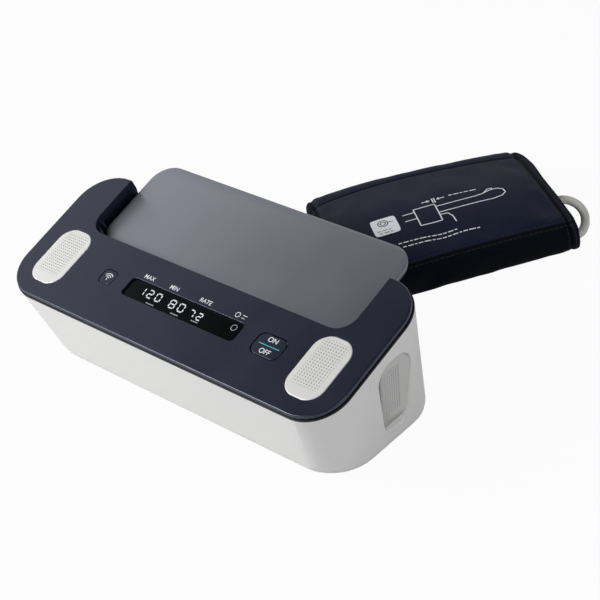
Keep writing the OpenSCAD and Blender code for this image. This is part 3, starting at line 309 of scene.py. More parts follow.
# %% Grids of the four electrodes
PAD_X, PAD_S = 107.9, 34.2
DOTS = {"pitch": (2.0, 1.85), "half": (9.0, 15.7), "dot_r": 0.45}
pad_middle = (Matrix.Rotation(math.radians(-TILT), 4, "X")
              @ SLOPE @ Vector((PAD_X * MM, PAD_S * MM, PAD_N * MM)))
pad_metal = {side: punched(f"electrode_top_{side}", (math.radians(-TILT), 0, 0),
                           (-side * pad_middle.x, -pad_middle.y, 0), **DOTS)
             for side in (1, -1)}
SIDE_Y, SIDE_Z = 3.0, 37.2
side_metal = punched("electrode_side", (0, 0, 0), (0, -SIDE_Y * MM, -SIDE_Z * MM),
                     (1.6, 1.6), (6.4, 15.4), 0.4, axes="YZ", metal_share=1.0,
                     base="#c4c4c3", dot_shade_tone="#7e7f81", rough=0.3)
print("Dots on a top electrode:", round(2 * DOTS["half"][0] / DOTS["pitch"][0])
      * round(2 * DOTS["half"][1] / DOTS["pitch"][1]))

# %% [markdown]
# The rest is plain: turned and plated steel, moulded rubber, a glass-epoxy board and the
# foil of the batteries.

# %% Steel, rubber and inner materials
steel = plain("nickel_steel", "#b4b6b8", 0.3, (0.5, 0.01, 0.25, 0.38), Metallic=1.0)
rubber = plain("grey_rubber", "#37383b", 0.75, (0.8, 0.04, 0.7, 0.85))
plug_plastic = plain("plug_grey_abs", "#8e8f8d", 0.45, (0.7, 0.02, 0.4, 0.5))
board_epoxy = plain("board_green_epoxy", "#1f5a3c", 0.4, (1.2, 0.03, 0.3, 0.5))
cell_wrap = plain("battery_wrap", "#b7892f", 0.3, (2.0, 0.01, 0.25, 0.35))
print("Materials:", len(bpy.data.materials))

# %% [markdown]
# ## Finishes of the CAD solids
# A solid whose shape is right keeps its mesh and only gets a material.

# %% Finishes by node
FINISHES = {
    "stand_panel": panel_paint, "display_window": window_acrylic, "lip_frame": lip_shaded_abs,
    "top_electrode_right": pad_metal[1], "top_electrode_left": pad_metal[-1],
    "inner_hoses": tube_pvc, "air_plug": plug_plastic,
}
SHARED = (
    (housing_abs, "lower_housing battery_cover"),
    (cover_abs, "top_cover panel_backing start_button connection_button"),
    (side_metal, "side_electrode_right side_electrode_left"),
    (steel, "hinge_pins button_switches electrode_leads board_screws pump_motor "
            "battery_contacts housing_screws cuff_bar"),
    (rubber, "panel_bumpers pump_cradle feet cuff_bladder hook_patch tube_tie cuff_sleeve"),
    (board_epoxy, "main_board power_board"),
    (inner_abs, "pressure_sensor dc_jack air_jack pump_head release_valve display_module "
                "cuff_port"),
    (cell_wrap, "battery_1 battery_2 battery_3 battery_4"),
)
for material, names in SHARED:
    FINISHES.update({node: material for node in names.split()})
for node, material in FINISHES.items():
    paint(nodes[node], material)
print("Painted nodes:", len(FINISHES))

# %% [markdown]
# ## Softened copies of what shows
# Moulded plastic has no knife edges: every edge has a radius of a few tenths of a
# millimetre, which catches a thin line of light. The CAD solids leave these radii out. So
# each piece that shows gets a copy whose loose triangles are merged, whose flat regions
# are joined, and whose upper edges are bevelled. Weighted normals keep the large flat
# faces flat while the small bevels are shaded round.

# %% Helper that softens a copy of a solid


def on_level(*levels):
    """Picks the edges that lie flat at one of some heights above the sloping top's lip."""
    def pick(edge):
        ends = [(INTO_SLOPE @ v.co).z / MM for v in edge.verts]
        return any(max(abs(n - level) for n in ends) < 0.06 for level in levels)
    return pick


def soften(node, body, pick=None, width=0.4, corner=50, round_below=35):
    """A merged and smoothly shaded copy of a solid, its picked edges bevelled."""
    piece = bpy.data.objects.new(node + "_soft", nodes[node].data.copy())
    bpy.context.collection.objects.link(piece)
    only(piece)
    bpy.ops.object.mode_set(mode="EDIT")
    bpy.ops.mesh.select_mode(type="EDGE")
    bpy.ops.mesh.select_all(action="SELECT")
    bpy.ops.mesh.remove_doubles(threshold=0.006 * MM)
    bpy.ops.mesh.dissolve_limited(angle_limit=math.radians(0.5))
    bpy.ops.mesh.select_all(action="DESELECT")
    bpy.ops.mesh.edges_select_sharp(sharpness=math.radians(corner))
    drawing = bmesh.from_edit_mesh(piece.data)
    for edge in drawing.edges:
        if edge.select and not (pick and pick(edge)):
            edge.select_set(False)
    bmesh.update_edit_mesh(piece.data)
    picked = sum(edge.select for edge in drawing.edges)
    if picked:
        bpy.ops.mesh.bevel(offset=width * MM, segments=2, affect="EDGES", clamp_overlap=True)
    bpy.ops.object.mode_set(mode="OBJECT")
    bpy.ops.object.shade_smooth_by_angle(angle=math.radians(round_below))
    flat = piece.modifiers.new("flat_faces_stay_flat", "WEIGHTED_NORMAL")
    flat.keep_sharp = True
    bpy.ops.object.modifier_apply(modifier=flat.name)
    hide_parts(node)
    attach(piece, body)
    print(node, "edges softened:", picked, "faces:", len(piece.data.polygons))
    return piece


# %% Housing, lip and cover
housing = soften("lower_housing", "monitor", on_level(0), 0.4)
soften("lip_frame", "monitor", on_level(LIP_N), 0.35)
BUTTON_BAND, BUTTON_HALF_S = (54, 83), 9


def outer_edge(edge):
    """Picks the cover's own edges, but leaves the openings of the buttons crisp."""
    middle = INTO_SLOPE @ ((edge.verts[0].co + edge.verts[1].co) / 2) / MM
    near = BUTTON_BAND[0] < abs(middle.x) < BUTTON_BAND[1]
    at_button = near and abs(middle.y - ROW_S) < BUTTON_HALF_S
    return on_level(COVER_N)(edge) and not at_button


soften("top_cover", "monitor", outer_edge, 0.3, round_below=50)

# %% [markdown]
# The buttons float in their openings with a clear gap all round, which reads as a dark
# line. Their copies are drawn in a little towards the middle, so that the gap shows.

# %% Window, buttons and electrodes
GAP_SHARE = 0.965
START_X, CONNECTION_X = 70.5, -64.0
soften("display_window", "monitor", on_level(WINDOW_N), 0.3)
for name, middle_x in (("start_button", START_X), ("connection_button", CONNECTION_X)):
    button = soften(name, name, on_level(BUTTON_N), 0.25)
    middle = Matrix.Translation((middle_x * MM, ROW_S * MM, 0))
    button.data.transform(SLOPE @ middle @ Matrix.Diagonal((GAP_SHARE, GAP_SHARE, 1, 1))
                          @ middle.inverted() @ INTO_SLOPE)
for side in ("left", "right"):
    soften(f"top_electrode_{side}", "monitor", round_below=50)
    soften(f"side_electrode_{side}", "monitor", lambda edge: True, 0.3)

# %% Rear sockets, plug and battery cover
soften("air_jack", "monitor", lambda edge: True, 0.25)
soften("dc_jack", "monitor", lambda edge: True, 0.25)
plug_soft = soften("air_plug", "cuff", lambda edge: True, 0.4)
soften("battery_cover", "battery_cover", lambda edge: True, 0.3)

# %% [markdown]

# %% [markdown]
# ## The stand panel
# The panel is one flat plate with four rounded corners, tighter at the front where it
# nests in the recess, wider at the rear where it stands free. It is drawn flat: a plane,
# its corners cut round by a vertex bevel, pulled up to its thickness, its upper edge
# rounded. Then the matrix of the sloping top lays it in its place.

# %% Stand panel
PANEL_HALF, PANEL_FRONT, PANEL_END = 104.3, 59.6, 123.7
PANEL_LOW, PANEL_T = -6.1, 2.0
CORNERS = ((PANEL_FRONT, 9.2), (PANEL_END, 15.0))

bpy.ops.mesh.primitive_plane_add(size=2 * MM, location=(0, 0, 0))
panel = bpy.context.active_object
panel.name = "stand_panel_plate"
middle = (PANEL_FRONT + PANEL_END) / 2
bpy.ops.object.mode_set(mode="EDIT")
bpy.ops.transform.resize(value=(PANEL_HALF, (PANEL_END - PANEL_FRONT) / 2, 1))
bpy.ops.transform.translate(value=(0, middle * MM, PANEL_LOW * MM))
bpy.ops.mesh.select_mode(type="VERT")
for line_s, radius in CORNERS:
    bpy.ops.mesh.select_all(action="DESELECT")
    drawing = bmesh.from_edit_mesh(panel.data)
    for corner in drawing.verts:
        near = abs(corner.co.y - line_s * MM) < 0.1 * MM
        corner.select_set(near and abs(corner.co.x) > (PANEL_HALF - 0.1) * MM)
    bmesh.update_edit_mesh(panel.data)
    bpy.ops.mesh.bevel(offset=radius * MM, segments=14, affect="VERTICES")
bpy.ops.mesh.select_all(action="SELECT")
bpy.ops.mesh.extrude_region_move(TRANSFORM_OT_translate={"value": (0, 0, PANEL_T * MM)})
bpy.ops.mesh.select_mode(type="EDGE")
bpy.ops.mesh.select_all(action="DESELECT")
drawing = bmesh.from_edit_mesh(panel.data)
for edge in drawing.edges:
    top = all(abs(v.co.z - (PANEL_LOW + PANEL_T) * MM) < 0.01 * MM for v in edge.verts)
    edge.select_set(top and len(edge.link_faces) == 2)
bmesh.update_edit_mesh(panel.data)
bpy.ops.mesh.bevel(offset=0.7 * MM, segments=3, affect="EDGES")
bpy.ops.mesh.select_all(action="SELECT")
bpy.ops.mesh.normals_make_consistent(inside=False)
bpy.ops.object.mode_set(mode="OBJECT")
panel.data.transform(SLOPE)
only(panel)
bpy.ops.object.shade_smooth_by_angle(angle=math.radians(40))
panel.data.materials.append(panel_paint)
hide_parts("stand_panel")
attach(panel, "panel")
print("Panel:", [round(c / MM, 1) for c in panel.dimensions])

# %% [markdown]
# ## Signs on the cover
# The signs are printed, so they are thin strokes of ink. A curve with a small round bevel
# is a stroke of even width with neat ends. It is made a mesh, pressed flat and laid on the
# slope. The readings are plain numbers built from the seven bars of a segment display.

# %% Inks and the helpers for strokes and words
INK_SKIN = (0.5, 0.004, 0.45, 0.6)
white_ink = plain("white_print_ink", "#e4e6ea", 0.5, INK_SKIN)
dim_ink = plain("dim_print_ink", "#8b8f98", 0.5, INK_SKIN)
teal_ink = plain("teal_print_ink", "#2fb4b8", 0.5, INK_SKIN)
dark_ink = plain("dark_print_ink", "#3b3e48", 0.6, (0.5, 0.004, 0.55, 0.7))
INK_FLAT = 0.08
CAPITAL_SHARE = 0.72


def strokes(name, lines, width, ink, level=0.0):
    """Flat strokes of ink along lines of points, in millimetres on a flat drawing."""
    data = bpy.data.curves.new(name, "CURVE")
    data.dimensions = "3D"
    data.bevel_depth = width / 2 * MM
    data.bevel_resolution = 1
    data.use_fill_caps = True
    for points in lines:
        line = data.splines.new("POLY")
        line.points.add(len(points) - 1)
        for point, (x, s) in zip(line.points, points):
            point.co = (x * MM, s * MM, 0, 1)
    piece = bpy.data.objects.new(name, data)
    bpy.context.collection.objects.link(piece)
    only(piece)
    bpy.ops.object.convert(target="MESH")
    piece = bpy.context.active_object
    piece.data.transform(Matrix.Translation((0, 0, level * MM))
                         @ Matrix.Diagonal((1, 1, INK_FLAT, 1)))
    paint(piece, ink)
    return piece


def words(name, entries, high, ink, level):
    """Printed capitals: each entry is a word and the middle of its place, in millimetres."""
    made = []
    for word, (x, s) in entries:
        bpy.ops.object.text_add(location=(0, 0, 0))
        piece = bpy.context.active_object
        piece.data.body = word
        piece.data.align_x, piece.data.align_y = "CENTER", "CENTER"
        piece.data.size = high / CAPITAL_SHARE * MM
        piece.data.extrude, piece.data.offset = 0.03 * MM, 0.03 * MM
        bpy.ops.object.convert(target="MESH")
        piece = bpy.context.active_object
        piece.data.transform(Matrix.Translation((x * MM, s * MM, level * MM)))
        made.append(piece)
    only(made[0])
    for piece in made:
        piece.select_set(True)
    bpy.ops.object.join()
    piece = bpy.context.active_object
    piece.name = name
    paint(piece, ink)
    return piece


def lay_on_slope(piece, body):
    """Lays a flat drawing on the sloping top and lets it ride on a body."""
    piece.data.transform(SLOPE)
    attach(piece, body)
    print(piece.name, "laid, faces:", len(piece.data.polygons))


# %% The readings: plain numbers in seven bars
BARS = {"0": "abcdef", "1": "bc", "2": "abged", "7": "abc", "8": "abcdefg"}
READINGS = (("120", -28.0, 33.0, 6.1, 5.2, 7.0), ("80", -5.0, 32.8, 6.2, 5.6, 7.5),
            ("72", 11.2, 32.2, 5.4, 4.9, 6.4))
STROKE = 0.88
LEAN = 0.12
digit_lines = []
for number, mid_x, mid_s, high, wide, pitch in READINGS:
    for place_in_number, digit in enumerate(number):
        x0 = mid_x + (place_in_number - (len(number) - 1) / 2) * pitch
        w, h, gap = (wide - STROKE - 0.6) / 2, (high - STROKE) / 2, STROKE * 0.45
        ends = {"a": ((-w + gap, h), (w - gap, h)), "g": ((-w + gap, 0), (w - gap, 0)),
                "d": ((-w + gap, -h), (w - gap, -h)), "b": ((w, h - gap), (w, gap)),
                "c": ((w, -gap), (w, -h + gap)), "f": ((-w, h - gap), (-w, gap)),
                "e": ((-w, -gap), (-w, -h + gap))}
        for bar in BARS[digit]:
            digit_lines.append([(x0 + x - LEAN * s, mid_s + s) for x, s in ends[bar]])
readings = strokes("display_readings", digit_lines, STROKE, white_ink, WINDOW_N + 0.05)
lay_on_slope(readings, "monitor")

# %% Units, ring sign and words above the display
units = [[(-26.6, 27.0), (-20.0, 27.0)], [(-5.7, 27.3), (0.6, 27.3)],
         [(10.7, 28.2), (16.2, 28.2)]]
lay_on_slope(strokes("display_units", units, 0.8, dim_ink, WINDOW_N + 0.05), "monitor")


def ring(x, s, radius, from_deg=0, to_deg=360, steps=20):
    """Points along a round line."""
    turns = [math.radians(from_deg + (to_deg - from_deg) * k / steps) for k in range(steps + 1)]
    return [(x + radius * math.cos(a), s + radius * math.sin(a)) for a in turns]


lay_on_slope(strokes("display_ring", [ring(40.4, 34.6, 1.9)], 0.6, dim_ink,
                     WINDOW_N + 0.05), "monitor")
lay_on_slope(words("cover_words", (("MAX", (-36.1, 41.9)), ("MIN", (-14.7, 41.9)),
                                   ("RATE", (11.8, 41.9))), 2.9, white_ink, COVER_N),
             "monitor")
lay_on_slope(strokes("cover_ring", [ring(37.6, 42.3, 1.6), [(41.0, 43.2), (44.4, 43.2)],
                                    [(41.0, 41.4), (43.4, 41.4)]], 0.45, white_ink,
                     COVER_N + 0.03), "monitor")

# %% Signs on the two buttons
lay_on_slope(words("start_words", (("ON", (START_X, 36.1)), ("OFF", (START_X, 28.0))), 3.3,
                   white_ink, BUTTON_N), "start_button")
lay_on_slope(strokes("start_line", [[(62.8, 32.1), (78.4, 32.1)]], 0.6, teal_ink,
                     BUTTON_N + 0.03), "start_button")
waves = [ring(CONNECTION_X, 30.4, r, 40, 140, 10) for r in (1.4, 2.7, 4.0)]
lay_on_slope(strokes("connection_waves", waves + [ring(CONNECTION_X, 30.2, 0.25, steps=8)],
                     0.55, white_ink, BUTTON_N + 0.03), "connection_button")

# %% [markdown]
# High on the right wall two small arcs stand out a little from the plastic. They are drawn
# flat like the printed signs. A ray finds the sloping wall, and a matrix leans the drawing
# against it. The last number of the row below makes the flat strokes stand proud.

# %% Raised arcs on the right wall
WALL_LEAN, ARCS_Y, ARCS_Z, ARCS_PROUD = 7.63, -20.6, 56.6, 11
wall_turn = math.radians(WALL_LEAN)
housing_surface = BVHTree.FromObject(housing, bpy.context.evaluated_depsgraph_get())
wall_hit = housing_surface.ray_cast(Vector((0.3, ARCS_Y * MM, ARCS_Z * MM)),
                                    Vector((-1, 0, 0)))[0]
WALL = Matrix(((0, math.sin(wall_turn), math.cos(wall_turn), wall_hit.x),
               (1, 0, 0, ARCS_Y * MM),
               (0, math.cos(wall_turn), -math.sin(wall_turn), ARCS_Z * MM),
               (0, 0, 0, 1)))
arcs = strokes("side_arcs", [ring(0, 0, r, -52, 52, 12) for r in (2.1, 3.6)], 0.7, housing_abs)
arcs.data.transform(WALL @ Matrix.Diagonal((1, 1, ARCS_PROUD, 1)))
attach(arcs, "monitor")
print("Arcs at x:", round(wall_hit.x / MM, 1), "mm")

# %% [markdown]
# ## The folded cuff
# The cuff is a long padded sleeve of woven nylon, folded over itself: a round fold towards
# the monitor, a crowned top, and a gap under the top flap at the far side. Its ends are
# bound with tape. The form starts as rings of points round the section, a little slack.
# A short cloth simulation with pressure inside then swells it between its seams, as the
# bladder and the folds of foam do. The seams are pinned, so they stay drawn in.

# %% Section of the folded cuff
CUFF = (Matrix.Translation((96 * MM, 195 * MM, 0)) @ Matrix.Rotation(math.radians(56), 4, "Z"))
CUFF_RIGHT, CUFF_LEN, CUFF_D, CUFF_FLARE, CUFF_T = 5.0, 146.0, 96.0, 12.0, 26.0
CUFF_LEFT = CUFF_RIGHT - CUFF_LEN
CUFF_SKEW, CUFF_CROWN, END_R, SQUARE = 6.0, 3.0, 9.0, 0.72
FOLD_V, FOLD_REACH, SLOT_Z, SLOT_T, SLOT_V = 8.0, 18.5, 13.6, 1.6, 18.0
FOLD_ANGLES = (270, 247.5, 225, 202.5, 180, 158, 140, 132, 124, 113, 102, 90)
FOLD_SEAM = 7
FAR_SEAM = 18
SLOT_FIRST = 23
SLACK, HEM, HEM_BOW = 0.3, 13.5, 2.5


def squarish(x):
    """Bulges a sine or cosine outwards, so that a round fold gets a flatter front."""
    return math.copysign(abs(x) ** SQUARE, x)


def section(d, u, fit):
    """Points (v, z) round the cuff at a distance d from its end, from the fold's bottom."""
    t = CUFF_T * fit * (1 + CUFF_CROWN / CUFF_T
                        * math.sin(math.pi * (CUFF_RIGHT - u) / CUFF_LEN) ** 0.7)
    h = CUFF_T * (1 - fit) * 0.4
    draw = 0 if d >= END_R else END_R - math.sqrt(END_R ** 2 - (END_R - d) ** 2)
    along = (CUFF_RIGHT - u) / CUFF_LEN
    v1 = CUFF_D - 4 + CUFF_FLARE * along - 4 * max(0, (along - 0.6) / 0.4) ** 2 - draw
    hem = HEM - HEM_BOW * math.sin(math.pi * along) + HEM_BOW * along ** 4
    top = t - h - SLACK
    r, c = (top - h) / 2, (top + h) / 2
    flap, pack = top - SLOT_Z, SLOT_Z - h
    points = []
    for k, angle in enumerate(FOLD_ANGLES):
        dent = 1.1 if k == FOLD_SEAM else 0
        a = math.radians(angle)
        points.append((FOLD_V + (1 - fit) * 20
                       + (FOLD_REACH - (1 - fit) * 12 - dent) * squarish(math.cos(a)),
                       c + (r - dent) * squarish(math.sin(a))))
    for k in range(1, 6):
        points.append((FOLD_V + (v1 - FOLD_V - hem - 2.5) * k / 6,
                       top + CUFF_CROWN * math.sin(math.pi * k / 6) * 0.7 + 0.3))
    points += [(v1 - hem - 1.2, top + 0.7), (v1 - hem, top - 0.6), (v1 - hem + 1.2, top + 0.7),
               (v1 - 3, top + 0.2), (v1 - 1, top - flap * 0.2), (v1, top - flap * 0.5),
               (v1 - 0.6, SLOT_Z + SLOT_T / 2), (SLOT_V, SLOT_Z + SLOT_T / 2),
               (SLOT_V, SLOT_Z - SLOT_T / 2), (v1 - 1, SLOT_Z - SLOT_T / 2),
               (v1 - 0.4, h + pack * 0.45), (v1 - 1.6, h + pack * 0.15), (v1 - 5, h),
               (v1 * 0.66, h), (v1 * 0.33, h)]
    return points


print("Section points:", len(section(0, 0, 1)))

# %% [markdown]
# The rings stand close together at the bound ends, where the tape's seam draws the padding
# in, and wide apart between. The photograph shows an inner layer that peeps out past the
# right end, and the folds below the flap that reach past the left one, so the end rings
# are pushed out there.

# %% Rings from the right end to the left one
ENDS = ((0, 0.94), (0.9, 0.985), (2.4, 1), (4.3, 1), (5.6, 0.94), (6.9, 1), (10, 1), (16, 1),
        (24, 1), (33, 1), (43, 1), (53, 1), (63, 1))
TAPE = 5.6
stations = ([(CUFF_RIGHT - d, d, fit) for d, fit in ENDS] + [(CUFF_RIGHT - 73, 73, 1)]
            + [(CUFF_LEFT + d, d, fit) for d, fit in reversed(ENDS)])


def push(u, d, v, z):
    """How far the layers at an end reach out past it, in millimetres."""
    if d > 4.5:
        return 0.0
    if u > -70:
        return 2.6 * math.exp(-((v - 68) / 13) ** 2) * (1 if z > 15 else 0.3)
    return -3.4 * math.exp(-((v - 84) / 16) ** 2) * (1 if z < 12 else 0)


def cuff_point(u, d, v, z):
    """A point of the cuff in the model's frame, in metres."""
    lean = CUFF_SKEW * (u - CUFF_LEFT) / CUFF_LEN * (1 - v / CUFF_D)
    return CUFF @ Vector(((u + lean + push(u, d, v, z)) * MM, v * MM, z * MM))


rings = [[cuff_point(u, d, v, z) for v, z in section(d, u, fit)] for u, d, fit in stations]
print("Rings:", len(rings), "points each:", len(rings[0]))

# %% [markdown]
# The skin is quads between the rings. Its UV map measures real millimetres: how far round
# the section, and how far along the cuff, so the weave and the stitches follow the cloth.
# The faces get four finishes: tape at the ends, smooth nylon on top, a loop cloth below
# the fold's seam and round the folds, painted darker as shade there, and the cut folds in
# the two end faces, with painted shade between their layers.

# %% Skin, end faces and UV map
sides = len(rings[0])
middle_ring = rings[len(rings) // 2]
around = [0.0]
for k in range(sides):
    around.append(around[-1] + (middle_ring[(k + 1) % sides] - middle_ring[k]).length)

cuff_mesh = bpy.data.meshes.new("arm_cuff")
drawing = bmesh.new()
grid = [[drawing.verts.new(p) for p in one] for one in rings]
uv = drawing.loops.layers.uv.new("cloth")
for i in range(len(rings) - 1):
    for k in range(sides):
        j = (k + 1) % sides
        face = drawing.faces.new((grid[i][k], grid[i][j], grid[i + 1][j], grid[i + 1][k]))
        for loop, (ring_no, step) in zip(face.loops, ((i, k), (i, k + 1), (i + 1, k + 1),
                                                      (i + 1, k))):
            loop[uv].uv = (around[step], stations[ring_no][0] * MM)
        d = (stations[i][1] + stations[i + 1][1]) / 2
        taped = d < TAPE
        # Below the fold's seam and round the folds, the loop cloth's colour is painted darker
        # as shade.
        loop_cloth_in_shade = k < FOLD_SEAM or k >= SLOT_FIRST
        face.material_index = 1 if taped else 2 if loop_cloth_in_shade else 0

# End faces: the folds between the skin and the gap under the flap, row by row
for end, turn in ((grid[0], 1), (grid[-1], -1)):
    caps = [(SLOT_FIRST + 1, k, k + 1) for k in range(4, SLOT_FIRST)]
    caps += [(SLOT_FIRST + 2, k, k + 1) for k in range(SLOT_FIRST + 3, sides - 1)]
    caps += [(SLOT_FIRST + 2, sides - 1, 0)]
    caps += [(SLOT_FIRST + 2, k, k + 1) for k in range(0, 4)]
    caps += [(SLOT_FIRST + 2, 4, SLOT_FIRST + 1)]
    for corners in caps:
        face = drawing.faces.new([end[c] for c in corners[::-turn]])
        face.material_index = 3
bmesh.ops.recalc_face_normals(drawing, faces=drawing.faces)
drawing.to_mesh(cuff_mesh)
drawing.free()
cuff = bpy.data.objects.new("arm_cuff", cuff_mesh)
bpy.context.collection.objects.link(cuff)
print("Cuff skin faces:", len(cuff_mesh.polygons))

# %% [markdown]
# Pinned points hold still in the simulation: the seams and their edges, the tape, the gap,
# and everything that rests on the table. The rest may swell by up to two millimetres.

# %% Pinned points
held = set()
for i, (u, d, fit) in enumerate(stations):
    for k in range(sides):
        z = section(d, u, fit)[k][1]
        on_seam = abs(k - FOLD_SEAM) <= 1 or abs(k - FAR_SEAM) <= 1
        in_gap = SLOT_FIRST - 1 <= k <= SLOT_FIRST + 3
        if d <= TAPE + 1.4 or on_seam or in_gap or z < 1.5:
            held.add(i * sides + k)
group = cuff.vertex_groups.new(name="seams")
group.add(sorted(held), 1.0, "REPLACE")
only(cuff)
rounder = cuff.modifiers.new("finer", "SUBSURF")
rounder.levels = rounder.render_levels = 1
bpy.ops.object.modifier_apply(modifier=rounder.name)
print("Points before the swelling:", len(cuff.data.vertices))

# %% Swelling by a cloth simulation
SWELL_FRAMES, SWELL_CAP = 16, 2.0


def swell(piece, pins, pressure):
    """Lets the pressure inside a closed piece puff it out between its pinned points."""
    rest = [v.co.copy() for v in piece.data.vertices]
    cloth = piece.modifiers.new("swelling", "CLOTH")
    cloth.settings.quality = 5
    cloth.settings.mass = 0.3
    cloth.settings.tension_stiffness = cloth.settings.compression_stiffness = 20
    cloth.settings.bending_stiffness = 8
    cloth.settings.use_pressure = True
    cloth.settings.uniform_pressure_force = pressure
    cloth.settings.vertex_group_mass = pins
    cloth.settings.shrink_min = -0.006
    cloth.settings.effector_weights.gravity = 0
    cloth.collision_settings.use_collision = False
    cloth.collision_settings.use_self_collision = False
    cloth.point_cache.frame_start, cloth.point_cache.frame_end = 1, SWELL_FRAMES
    for step in range(1, SWELL_FRAMES + 1):
        bpy.context.scene.frame_set(step)
    only(piece)
    bpy.ops.object.modifier_apply(modifier=cloth.name)
    bpy.context.scene.frame_set(1)
    longest = 0.0
    for v, start_at in zip(piece.data.vertices, rest):
        move = v.co - start_at
        longest = max(longest, move.length)
        if move.length > SWELL_CAP * MM:
            v.co = start_at + move.normalized() * SWELL_CAP * MM
        v.co.z = max(v.co.z, 0.05 * MM)
    print("Longest move:", round(longest / MM, 2), "mm, kept to", SWELL_CAP)


swell(cuff, "seams", 2.0)
only(cuff)
rounder = cuff.modifiers.new("finer", "SUBSURF")
rounder.levels = rounder.render_levels = 1
bpy.ops.object.modifier_apply(modifier=rounder.name)
bpy.ops.object.shade_smooth()
print("Cuff faces:", len(cuff.data.polygons))

# %% [markdown]
# ### Cloths of the cuff
# The top is a tightly woven nylon, almost black navy with a dull sheen. Its threads are
# 0.25 mm apart and are drawn 0.8 mm apart. Along each seam the cloth dips, and a dark line
# of painted shade follows the dip, with a row of stitches beside it, one every 3.2 mm. Both
# are measured on the UV map, so they stay on the seams. The underside and the fold's front
# are a brushed loop cloth that the hooks grip, painted darker as the shade that falls there.

# %% Cloth of the cuff
WEAVE = 0.8
STITCH, THREAD = 3.2, 0.45
STITCH_OFF, STITCH_SHARE = 2.1, 0.72
SEAM_IN, SEAM_OUT = 0.5, 1.3
seam_round = [around[FOLD_SEAM], around[FAR_SEAM]]
seam_along = [(CUFF_RIGHT - TAPE) * MM, (CUFF_LEFT + TAPE) * MM]


def nearest(tree, value, places):
    """Distance from a coordinate to the nearest of a few places on it."""
    closest = None
    for at in places:
        off = add(tree, "Math", {0: value, 1: at}, operation="SUBTRACT")
        far = add(tree, "Math", {0: off}, operation="ABSOLUTE")
        closest = far if closest is None else add(
            tree, "Math", {0: closest, 1: far}, operation="MINIMUM")
    return closest


def cuff_cloth(name, base, light, rough, sheen, fuzz):
    """Woven cloth on the UV map, with painted shade along the seams, rows of stitches and soft
    mottling.
    """
    cloth, tree, shader, place = start(name, base, rough, Specular_IOR_Level=0.08,
                                       Sheen_Weight=sheen, Sheen_Roughness=0.5)
    flat = add(tree, "UVMap", uv_map="cloth").outputs["UV"]
    parts = add(tree, "SeparateXYZ", {"Vector": flat}).outputs
    threads = []
    for axis in ("X", "Y"):
        turns = add(tree, "Math", {0: parts[axis], 1: 2 * math.pi / (WEAVE * MM)},
                    operation="MULTIPLY")
        threads.append(add(tree, "Math", {0: turns}, operation="SINE"))
    weave = add(tree, "Math", {0: threads[0], 1: threads[1]}, operation="MULTIPLY")
    nap = add(tree, "TexNoise", {"Vector": place, "Scale": 1 / (fuzz * MM), "Detail": 3.0})
    mottle = add(tree, "TexNoise", {"Vector": place, "Scale": 22.0, "Detail": 4.0})
    tone = add(tree, "Mix", {"Factor": mottle.outputs["Fac"], "A": colour(base),
                             "B": colour(light)}, data_type="RGBA")
    rows = []
    for across, along, places in (("X", "Y", seam_round), ("Y", "X", seam_along)):
        off = nearest(tree, parts[across], places)
        rows.append(add(tree, "MapRange", {"Value": off, "From Min": SEAM_IN * MM,
                                           "From Max": SEAM_OUT * MM, "To Min": 1.0,
                                           "To Max": 0.0}).outputs["Result"])
        side = add(tree, "Math", {0: off, 1: STITCH_OFF * MM}, operation="SUBTRACT")
        band = add(tree, "Math", {0: side}, operation="ABSOLUTE")
        in_band = add(tree, "Math", {0: band, 1: THREAD / 2 * MM}, operation="LESS_THAN")
        count = add(tree, "Math", {0: parts[along], 1: 1 / (STITCH * MM)}, operation="MULTIPLY")
        part = add(tree, "Math", {0: count}, operation="FRACT")
        sewn = add(tree, "Math", {0: part, 1: STITCH_SHARE}, operation="LESS_THAN")
        rows.append(add(tree, "Math", {0: in_band, 1: sewn}, operation="MULTIPLY"))
    # Along each seam the bump dips, and the colour is painted near black as the shade in the
    # dip.
    seam_dip_and_shade = add(tree, "Math", {0: rows[0], 1: rows[2]}, operation="MAXIMUM")
    thread = add(tree, "Math", {0: rows[1], 1: rows[3]}, operation="MAXIMUM")
    seam_shaded = add(tree, "Mix", {"Factor": seam_dip_and_shade, "A": tone.outputs["Result"],
                             "B": colour("#050509")}, data_type="RGBA")
    sewn_tone = add(tree, "Mix", {"Factor": thread, "A": seam_shaded.outputs["Result"],
                                  "B": colour("#2b2e3b")}, data_type="RGBA")
    tree.links.new(sewn_tone.outputs["Result"], shader.inputs["Base Color"])
    deep = add(tree, "Math", {0: nap.outputs["Fac"], 1: 0.6, 2: weave},
               operation="MULTIPLY_ADD")
    raised = add(tree, "Math", {0: thread, 1: 4.0, 2: deep}, operation="MULTIPLY_ADD")
    height = add(tree, "Math", {0: seam_dip_and_shade, 1: -6.0, 2: raised}, operation="MULTIPLY_ADD")
    bump = add(tree, "Bump", {"Height": height, "Distance": 0.00005, "Strength": 0.5})
    tree.links.new(bump.outputs["Normal"], shader.inputs["Normal"])
    cuff.data.materials.append(cloth)


cuff_cloth("cuff_nylon", "#13172a", "#181d31", 0.6, 0.02, 3.0)
cuff_cloth("cuff_binding_tape", "#0d0f18", "#131622", 0.8, 0.02, 1.2)
# The loop cloth is painted darker than the nylon, as shade on the fold's front and underside.
cuff_cloth("cuff_loop_cloth_painted_shade", "#06080f", "#0a0d16", 0.9, 0.02, 0.9)
